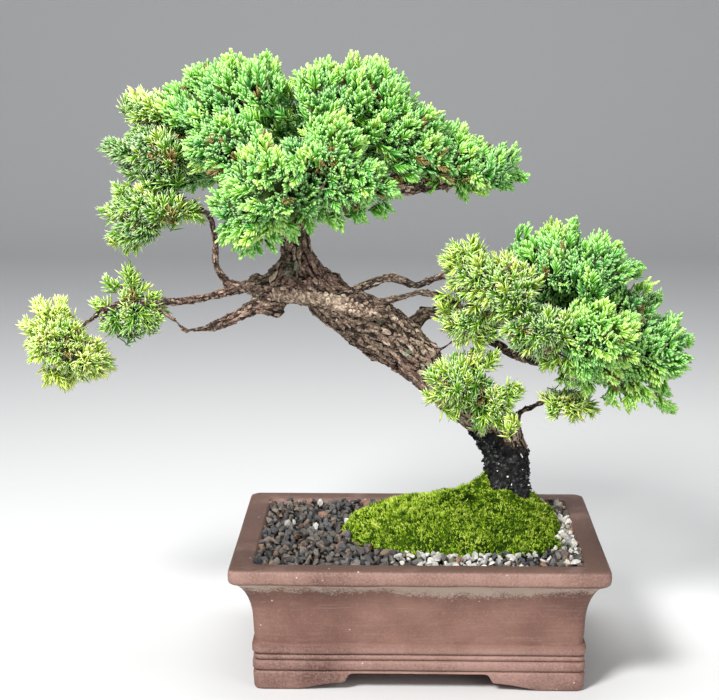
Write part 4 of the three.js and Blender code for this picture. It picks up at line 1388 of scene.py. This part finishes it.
def makeStone(settings):  # the hull of a few places on an uneven ball: an angular chip
    count = settings["points"]
    places = unit(dice.normal(0, 1, (count, 3))) * dice.uniform(*settings["uneven"], (count, 1)) * settings["shape"]
    return templateOf(closedShape("stone", places.tolist(), [], bpy.ops.mesh.convex_hull))


def rolled(count):  # a turn and a kind for each stone
    turns = frames(unit(dice.normal(0, 1, (count, 3))), dice.uniform(0, 6, count))
    return turns, dice.integers(0, len(stones), count)


def stonePiece(name, slot, paint, layout, chosen, *replaced):
    parts = []
    for kind, template in enumerate(stones):
        mine = chosen & (layout["kinds"] == kind)
        turns, sizes, centres, low, high, tints = (
            layout[key][mine] for key in ("turns", "sizes", "centres", "low", "high", "tints")
        )
        parts.append(mappedCopies(template, turns, sizes * mm, centres, (low, high), tints))
    piece = pieceOfTriangles(name, *joinedArrays(parts), smooth=False)
    finishPiece(piece, slot, paint, *replaced)
    return len(piece.data.polygons)


def makeCrumbs(settings):
    places, normals = placesOf(trunk), normalsOf(trunk)
    fit = np.flatnonzero((wood["crust"] > 0.5) & (places[:, 2] > settings["lowest"] * mm))
    chosen = dice.choice(fit, settings["count"], replace=False)
    centres, normals = places[chosen], normals[chosen]
    sizes = dice.uniform(*settings["size"], (len(chosen), 1)) * dice.uniform(*settings["shape"], (len(chosen), 3))
    tones = settings["tint"] + dice.beta(1.3, 2.2, len(chosen)) * settings["tintRange"]
    tones = np.clip(tones, *settings["tintLimits"])
    tree = treeOf(trunk)
    for x, z, radius in settings["pale"]:
        hit, normal, _, _ = tree.ray_cast(fromPot(x, -60, z), Vector((0, 1, 0)))
        if hit is not None:
            centres, normals = np.concatenate([centres, [hit]]), np.concatenate([normals, [normal]])
            sizes = np.concatenate([sizes, [radius * np.array(settings["paleShape"])]])
            tones = np.append(tones, settings["paleTint"])
    count = len(centres)
    turns, kinds = rolled(count)
    layout = {
        "turns": turns, "kinds": kinds, "sizes": sizes, "tints": tones,
        "centres": centres + normals * (sizes.mean(1) * settings["sink"] * mm)[:, None],
        "low": np.full(count, 0.94), "high": np.full(count, 0.96),
    }
    paint = Paint("grit", Roughness=0.84, Specular_IOR_Level=0.25)
    paint.set("Base Color", paint.ramp(paint.mapPlace()[0], crustGreys))
    return stonePiece("foot_crumbs", "bark", paint, layout, np.full(count, True))


stones = [makeStone(stoneSettings) for _ in range(stoneSettings["kinds"])]
print("crumb triangles", makeCrumbs(crumbSettings))

# Pot: a rounded outline drawn up through the wall's profile, then cut under its foot
potSettings = {
    "length": 254,
    "width": 203,
    "height": 88,
    "corner": 5.5,
    "cornerSteps": 6,
    "cuts": 26,
    # [height, inset from the rim] up the outside, then down the inside
    "outside": [
        (0.0, 17.4), (0.5, 16.4), (1.8, 15.8), (7.0, 15.4), (11.6, 15.2), (12.6, 15.6), (13.3, 17.2), (14.2, 15.5),
        (15.2, 14.9), (18.8, 14.8), (19.8, 15.3), (20.7, 17.2), (21.6, 15.6), (22.8, 15.3), (23.9, 15.6), (24.8, 17.3),
        (25.7, 15.3), (26.9, 14.6), (31.4, 14.6), (32.4, 15.0), (33.0, 16.9), (40.0, 15.9), (49.0, 15.5), (55.0, 14.9),
        (60.0, 13.9), (65.0, 12.3), (69.0, 10.4), (72.5, 8.1), (75.2, 5.6), (76.6, 3.6), (77.3, 1.8), (78.4, 0.7),
        (80.0, 0.2), (83.0, 0.0), (86.0, 0.2), (87.2, 0.8), (88.0, 2.2),
    ],
    "inside": [
        (88.0, 14.6), (87.6, 15.6), (86.6, 16.1), (80.0, 18.0), (70.0, 21.0), (50.0, 25.0), (22.0, 26.0), (20.0, 27.5),
    ],
    # how far the walls and the lip's lower edge wander, over lumps of which size, and where that edge is
    "wave": 0.35,
    "waveSize": 46,
    "lipWave": 0.75,
    "lipWaveSize": 17,
    "lipAt": 77,
    "lipHalf": 1.6,
    "foot": 12,
    "recess": 28.8,
    "drain": 11,
    "drains": (-50, 50),
    # arches under the walls: [half of their flat top, length of the cut, quarter turns]
    "arches": [(51, 270, 0), (38, 320, 1)],
    "bevel": 0.8,
}


def cutWith(piece, cutter):
    applyModifier(piece, "BOOLEAN", operation="DIFFERENCE", object=cutter, solver="EXACT")
    remove(cutter)


def archCutter(halfTop, length, height):  # the space between two feet: flat, a steep step, a long shallow slope
    def bend(points, count=7):
        share = np.linspace(0, 1, count)[:, None]
        a, b, c, d = (np.array(point, float) for point in points)
        return a * (1 - share) ** 3 + 3 * b * share * (1 - share) ** 2 + 3 * c * share**2 * (1 - share) + d * share**3

    slope = bend([(halfTop + 37, 0.01), (halfTop + 22, 1.2), (halfTop + 16, 4.6), (halfTop, 5.6)])
    step = bend([(halfTop, 5.6), (halfTop - 3, 6), (halfTop - 2, height), (halfTop - 7, height)])
    right = np.concatenate([[(halfTop + 37, -2)], slope, step[1:]])
    outline = np.concatenate([right, (right * [-1, 1])[::-1]])
    places = [(x * mm, -length / 2 * mm, z * mm) for x, z in outline]
    return closedShape("arch", places, [range(len(outline))], extrude, 0, length * mm, 0)


def makePot(settings):
    half = np.array([settings["length"], settings["width"]]) / 2
    (height, inset), *profile = settings["outside"] + settings["inside"]
    size = half - inset
    pot = primitive(bpy.ops.mesh.primitive_plane_add, "pot_body", (*(size * mm), 1), size=2)
    startEdit(pot, "VERT")
    bpy.ops.mesh.bevel(offset=settings["corner"] * mm, segments=settings["cornerSteps"], affect="VERTICES")
    endEdit()
    places = placesOf(pot)
    startEdit(pot, "EDGE", lambda edge: np.linalg.norm(np.subtract(*places[list(edge.vertices)])) > 0.05)
    bpy.ops.mesh.subdivide(number_cuts=settings["cuts"])
    bpy.ops.mesh.select_mode(type="FACE")
    bpy.ops.mesh.select_all(action="SELECT")
    for nextHeight, inset in profile:
        nextSize = half - inset
        extrude(0, 0, (nextHeight - height) * mm)
        bpy.ops.transform.resize(value=(*(nextSize / size), 1), center_override=(0, 0, nextHeight * mm))
        height, size = nextHeight, nextSize
    endEdit(turned=True)
    # hand-made unevenness, less at the foot and the rim
    places = placesOf(pot)
    upright, top = places[:, 2], settings["height"] * mm
    move = wander(places, settings["waveSize"] * mm, 81) * settings["wave"]
    move[:, 2] *= smoothStep(2 * mm, 20 * mm, upright) * smoothStep(top, 84 * mm, upright)
    move[:, :2] *= smoothStep(top, 70 * mm, upright)[:, None] * 0.8 + 0.2
    lip = np.exp(-(((upright / mm - settings["lipAt"]) / settings["lipHalf"]) ** 2))
    move[:, 2] += settings["lipWave"] * lip * lumps(places * [1, 1, 0], settings["lipWaveSize"] * mm, 84)
    setPlaces(pot, places + np.clip(move, -1, 1) * mm)
    recess = (*((half - settings["recess"]) * mm), settings["foot"] * mm)
    cutWith(pot, primitive(bpy.ops.mesh.primitive_cube_add, "cutter", recess, size=2, location=(0, 0, 0)))
    for halfTop, length, turns in settings["arches"]:
        cutter = archCutter(halfTop, length, settings["foot"])
        cutter.rotation_euler = (0, 0, turns * math.pi / 2)
        settle(cutter)
        cutWith(pot, cutter)
    for x in settings["drains"]:
        drain = {"vertices": 40, "radius": settings["drain"] * mm, "depth": 0.03, "location": (x * mm, 0, 0.016)}
        cutWith(pot, primitive(bpy.ops.mesh.primitive_cylinder_add, "cutter", **drain))
    applyModifier(
        pot, "BEVEL", width=settings["bevel"] * mm, segments=2, limit_method="ANGLE", angle_limit=math.radians(48),
        use_clamp_overlap=True, harden_normals=False,
    )
    pot.location = fromPot(0, 0, 0)
    settle(pot)
    pot.data.shade_smooth()
    pot.data.set_sharp_from_angle(angle=math.radians(55))
    return pot


def makeClayPaint():
    paint = Paint("clay", Roughness=0.62, Specular_IOR_Level=0.35)
    place = paint.objectPlace()
    sideways, _, height = paint.split(place)
    cloud, grain = paint.noise(place, 14, 4, 0.6), paint.noise(place, 700, 3, 0.6)
    speckle = grain - 0.5
    wall = paint.ramp(cloud + speckle * 0.16, [(0.3, (86, 59, 51)), (0.5, (110, 78, 68)), (0.7, (132, 98, 86))])
    wall = paint.mix(paint.grey(height, 0.0866, 0.0874) * 0.75, wall, (84, 63, 54))
    # the lip and the foot with its bands are lighter in patches: partly paler, worn clay, partly painted highlight on
    # these edges
    lip = paint.band(height, 0.0778, 0.0788, 0.0862, 0.0876) * paint.grey(cloud + speckle * 0.8, 0.3, 0.8)
    wall = paint.mix(lip * 0.8, wall, (160, 130, 118))
    wornAndHighlight = paint.band(height, 0.0, 0.001, 0.028, 0.032) * paint.grey(cloud + speckle * 0.7, 0.3, 0.75)
    wall = paint.mix(wornAndHighlight * 0.7, wall, (164, 132, 122))
    # pale bloom of salts under the lip, which hangs lower to the right of the middle
    ragged = paint.noise(paint.objectPlace((1, 1, 2.2)), 75, 5, 0.7)
    hanging = paint.band(height, 0.052, 0.07, 0.0764, 0.078) * paint.band(sideways, 0.02, 0.06, 0.11, 0.15)
    under = paint.band(height, 0.062, 0.0755, 0.0764, 0.078) + hanging * 0.35
    bloom = paint.grey(under * 0.8 + ragged + speckle * 0.9, 0.98, 1.28)
    wall = paint.mix(bloom * 0.85, wall, (178, 162, 148))
    streaks = paint.noise(paint.objectPlace((0.25, 0.25, 6)), 130, 3, 0.6)
    wall = paint.mix(paint.grey(streaks, 0.56, 0.74) * 0.4, wall, (146, 118, 110))
    wall = paint.mix(paint.grey(grain, 0.55, 0.8) * 0.3, wall, (156, 130, 120))
    spots = paint.node("ShaderNodeTexVoronoi", {"feature": "F1"}, {"Vector": place, "Scale": 115, "Randomness": 1.0})
    dots = (1 - paint.grey(spots, 0.05, 0.085)) * paint.grey(paint.noise(place, 40, 1), 0.56, 0.62)
    wall = paint.mix(dots * 0.8, wall, (204, 190, 178))
    dark = paint.noise(paint.objectPlace((1, 1, 0.7)), 95, 5, 0.7)
    paint.set("Base Color", paint.mix(paint.grey(dark, 0.62, 0.78) * 0.35, wall, (60, 40, 37)))
    paint.set("Roughness", paint.ramp(cloud, [(0.3, (0.5, 0.5, 0.5, 1)), (0.7, (0.68, 0.68, 0.68, 1))]))
    paint.bump(grain + streaks * 0.6 + cloud * 2, 0.0004, 0.7)
    return paint


pot = makePot(potSettings)
finishPiece(pot, "clay", makeClayPaint(), "pot")
print("pot faces", len(pot.data.polygons))

# Moss: a soft cushion with short shoots all over it
mossSettings = {
    "voxel": 2.4,
    "rounds": 5,
    "swell": 2.0,
    "fineSwell": 1.1,
    "drawnIn": 0.6,
    "tufts": 9000,
    "tuftLean": 0.18,
    "each": 6,
    "splay": 0.6,
    "stray": 0.35,
    "height": 2.6,
    "heights": (0.6, 1.25),
    "width": 0.85,
    "widths": (0.7, 1.3),
    # how pale it is: the mean, wide and small patches as [share, size, seed], tufts, single shoots and the limits
    "tint": 0.42,
    "patches": [(0.16, 22, 95), (0.3, 4.5, 96)],
    "tuftTints": 0.18,
    "shootTints": 0.24,
    "tintLimits": (0.03, 0.97),
    # a ridge that creeps up the trunk's left side, what holds it up, and fuller places of the rim: [x, y, z, radius]
    "ridge": [
        (20, 2, 109, 6), (30, 2, 112, 6.5), (38, 3, 114.5, 7), (44, 4, 119, 5), (47, 4, 126, 3), (48, 4, 131, 2),
    ],
    "under": [(30, 4, 104, 8), (42, 6, 106, 9), (50, 8, 108, 9)],
    "rim": [
        (92, -34, 86, 8), (80, -46, 86, 7.5), (66, -52, 85, 6.5), (90, 4, 91, 7), (50, -4, 110.5, 6.5),
        (58, -6, 110.5, 6.5), (66, -6, 109.5, 6.5), (74, -4, 107.5, 6), (80, 3, 105, 5.5),
    ],
}


def makeMoss(settings):
    beads = makeBeads(settings["rim"] + settings["under"] + beadsAlong(settings["ridge"]))
    cushion = joined(copyOfNode("moss_mound", "moss_form"), beads)
    remesh(cushion, settings["voxel"], settings["rounds"])
    places, normals = placesOf(cushion), normalsOf(cushion)
    swell = settings["swell"] * lumps(places, 11 * mm, 91) + settings["fineSwell"] * lumps(places, 4.5 * mm, 92)
    swell *= smoothStep(0.079, 0.086, places[:, 2])
    setPlaces(cushion, places + normals * ((swell - settings["drawnIn"]) * mm)[:, None])
    roots, normals, _ = surfacePoints(cushion, settings["tufts"] * 2)
    fit = (normals[:, 2] > -0.1) & (roots[:, 2] > 0.081)
    fit &= np.array([not inside(woodTree, place) for place in roots])
    chosen = np.flatnonzero(fit)[: settings["tufts"]]
    roots, normals = roots[chosen], normals[chosen]
    which = np.repeat(np.arange(len(roots)), settings["each"])
    count = len(which)
    tuftLean = dice.normal(0, settings["tuftLean"], (len(roots), 3))[which]
    along = unit(normals[which] + [0, 0, 0.5] + tuftLean + dice.normal(0, settings["splay"], (count, 3)))
    tall = settings["height"] * dice.uniform(*settings["heights"], count)
    tall = tall * (1 + 0.3 * lumps(roots, 7 * mm, 94))[which]
    wide = settings["width"] * dice.uniform(*settings["widths"], count)
    bases = roots[which] - along * 0.8 * mm + dice.normal(0, settings["stray"], (count, 3)) * mm
    patch = np.full(len(roots), settings["tint"])
    for share, size, seed in settings["patches"]:
        patch += share * lumps(roots, size * mm, seed)
    patch += dice.normal(0, settings["tuftTints"], len(roots))
    tints = np.clip(patch[which] + dice.normal(0, settings["shootTints"], count), *settings["tintLimits"])
    cone = {"vertices": 3, "radius1": 0.5, "radius2": 0, "depth": 1, "location": (0, 0, 0.5)}
    leaflet = templateOf(primitive(bpy.ops.mesh.primitive_cone_add, "leaflet", end_fill_type="NOTHING", **cone))
    turns = frames(along, dice.uniform(0, 6, count))
    shoots = mappedCopies(leaflet, turns, columns(wide, wide, tall) * mm, bases, (0.1, 1), tints)
    floor = placesOf(cushion)
    # the cushion under the shoots sits low on the paint's shade ramp: a dark sheet of painted shade
    across, up = 0.4 + 0.3 * lumps(floor, 9 * mm, 98), 0.09 + 0.05 * lumps(floor, 3 * mm, 97)
    base = (floor, trianglesOf(cushion), columns(across, up))
    remove(cushion)
    return pieceOfTriangles("moss", *joinedArrays([base, shoots]))


def makeMossPaint():
    paint = Paint("moss", Roughness=0.85, Specular_IOR_Level=0.1)
    across, along = paint.mapPlace()
    green = paint.ramp(
        across, [(0.0, (28, 52, 2)), (0.35, (94, 140, 6)), (0.65, (176, 212, 22)), (1.0, (246, 250, 132))],
    )
    # painted shade: the cushion and the foot of each shoot are darkened
    shade = paint.ramp(along, [(0.0, (0.05, 0.07, 0.03, 1)), (0.35, (0.22, 0.28, 0.16, 1)), (0.85, (1, 1, 1, 1))])
    shaded = paint.mix(1.0, green, shade, "MULTIPLY")
    paint.set("Base Color", paint.mix(paint.grey(along, 0.6, 1.0) * 0.22, shaded, (228, 242, 112)))
    return paint


moss = makeMoss(mossSettings)
finishPiece(moss, "moss", makeMossPaint(), "moss_mound")
print("moss faces", len(moss.data.polygons))

# Gravel: angular stones in two layers round the moss
gravelSettings = {
    "half": (109.5, 84),
    "corner": 10,
    "tries": 26000,
    # [height, spacing]
    "layers": [(81.5, 4.2), (85.6, 4.5)],
    "topFrom": 84,
    "uneven": 0.5,
    "mossGap": 1.2,
    "size": (1.6, 3.8),
    "shape": (0.85, 1.15),
    # heaped up on the right
    "heap": 1.6,
    "heapFrom": (78, 96),
    # left of this the stones belong to the dark gravel
    "split": -12,
    # shares of pale stones: what any place has, and how many more where all is pale
    "pale": (0.02, 0.84),
    "darkTints": 0.52,
    "paleTints": (0.55, 0.42),
}


def makeGravel(settings):
    mossTree = treeOf(nodes["moss_mound"])
    half, corner = np.array(settings["half"]), settings["corner"]
    spots = []
    for height, spacing in settings["layers"]:
        spread = dice.uniform(-1, 1, (settings["tries"], 2)) * half
        past = np.maximum(np.abs(spread) - (half - corner), 0)
        spread = spread[np.linalg.norm(past, axis=1) < corner]
        for x, y in spread[thinned(np.pad(spread, ((0, 0), (0, 1))), spacing)].tolist():
            heap = settings["heap"] * smoothStep(*settings["heapFrom"], x)
            place = fromPot(x, y, height + dice.normal(0, settings["uneven"]) + heap)
            under = mossTree.ray_cast((place[0], place[1], 0.2), (0, 0, -1))[0]
            apart = mossTree.find_nearest(place)[3] >= settings["mossGap"] * mm
            if apart and not (under and under.z > place[2] - mm):
                spots.append((x, y, *place, height > settings["topFrom"]))
    x, y, *centres, onTop = np.array(spots).T
    count = len(x)
    sizes = dice.uniform(*settings["size"], (count, 1)) * dice.uniform(*settings["shape"], (count, 3))
    turns, kinds = rolled(count)
    # pale pebbles run along the front from the middle on, and up the right side
    paleness = smoothStep(-20, 2, x + 4 * dice.normal(0, 1, count)) * smoothStep(-38, -52, y)
    paleness = np.maximum(paleness, smoothStep(70, 88, x + 4 * dice.normal(0, 1, count)))
    paleness -= 0.62 * smoothStep(46, 62, x) * smoothStep(-44, -58, y) + 0.14 * smoothStep(74, 90, x)
    few, more = settings["pale"]
    pale = dice.random(count) < np.clip(few + more * paleness, 0, 1)
    darkest, spread = settings["paleTints"]
    tints = darkest + spread * dice.beta(1.4, 1.1, count)
    tints = np.where(pale, tints, dice.beta(1.0, 1.3, count) * settings["darkTints"])
    layout = {
        "turns": turns, "kinds": kinds, "sizes": sizes, "tints": tints, "centres": columns(*centres),
        # the lower layer's stones take low rows, which the paint darkens as painted shade
        "low": 0.5 * onTop, "high": 0.5 * onTop + 0.4,
    }
    paint = makeGravelPaint()
    for name, chosen in (("gravel_dark", x < settings["split"]), ("gravel_pale", x >= settings["split"])):
        stonePiece(name + "_stones", slotOf[name], paint, layout, chosen, name)
    return count


def makeGravelPaint():
    paint = Paint("gravel", Roughness=0.8, Specular_IOR_Level=0.3)
    across, along = paint.mapPlace()
    stone = paint.ramp(
        across,
        [
            (0.0, (42, 44, 48)), (0.1, (92, 92, 94)), (0.2, (124, 116, 106)), (0.28, (64, 61, 60)),
            (0.37, (112, 106, 100)), (0.43, (134, 110, 90)), (0.47, (152, 112, 90)), (0.51, (90, 84, 80)),
            (0.56, (150, 142, 134)), (0.7, (196, 194, 188)), (0.84, (232, 229, 219)), (0.95, (212, 206, 192)),
            (1.0, (170, 146, 126)),
        ],
    )
    fine = paint.noise(paint.objectPlace(), 620, 4, 0.65)
    stone = paint.mix(paint.grey(fine, 0.4, 0.7) * 0.45, stone, (60, 56, 54))
    # painted shade: the lower layer's stones and the lower half of each upper stone are darkened toward near black
    paint.set("Base Color", paint.mix((1 - paint.grey(along, 0.4, 0.55)) * 0.75, stone, (22, 18, 15)))
    paint.bump(fine, 0.0005, 0.8)
    return paint


print("stones", makeGravel(gravelSettings))

# Pieces kept as the CAD made them, with better materials
keptSettings = {
    # the shader's values, the noise's scale, detail and roughness, its colours, and the height of its bumps
    "soil": {
        "shader": {"name": "soil", "Roughness": 0.95}, "noise": (300, 5, 0.7), "bump": 0.0015,
        "stops": [(0.35, (24, 19, 16)), (0.55, (52, 42, 34)), (0.75, (96, 80, 64))],
    },
    "wire": {
        "shader": {"name": "wire", "Roughness": 0.42, "Metallic": 0.9}, "noise": (180, 3),
        "stops": [(0.35, (120, 108, 96)), (0.65, (158, 148, 136))],
    },
    "screen_plastic": {
        "shader": {"name": "screenPlastic", "Roughness": 0.5}, "noise": (90, 4),
        "stops": [(0.4, (22, 24, 25)), (0.75, (58, 54, 50))],
    },
}
for slot, settings in keptSettings.items():
    paint = Paint(**settings["shader"])
    uneven = paint.noise(paint.objectPlace(), *settings["noise"])
    paint.set("Base Color", paint.ramp(uneven, settings["stops"]))
    if "bump" in settings:
        paint.bump(uneven, settings["bump"], 1.0)
    for node in (node for node in slotOf if slotOf[node] == slot):
        nodes[node].data.materials.clear()
        nodes[node].data.materials.append(paint.material)
for form in (*padForms.values(), *groupForms.values(), woodForm):
    remove(form)
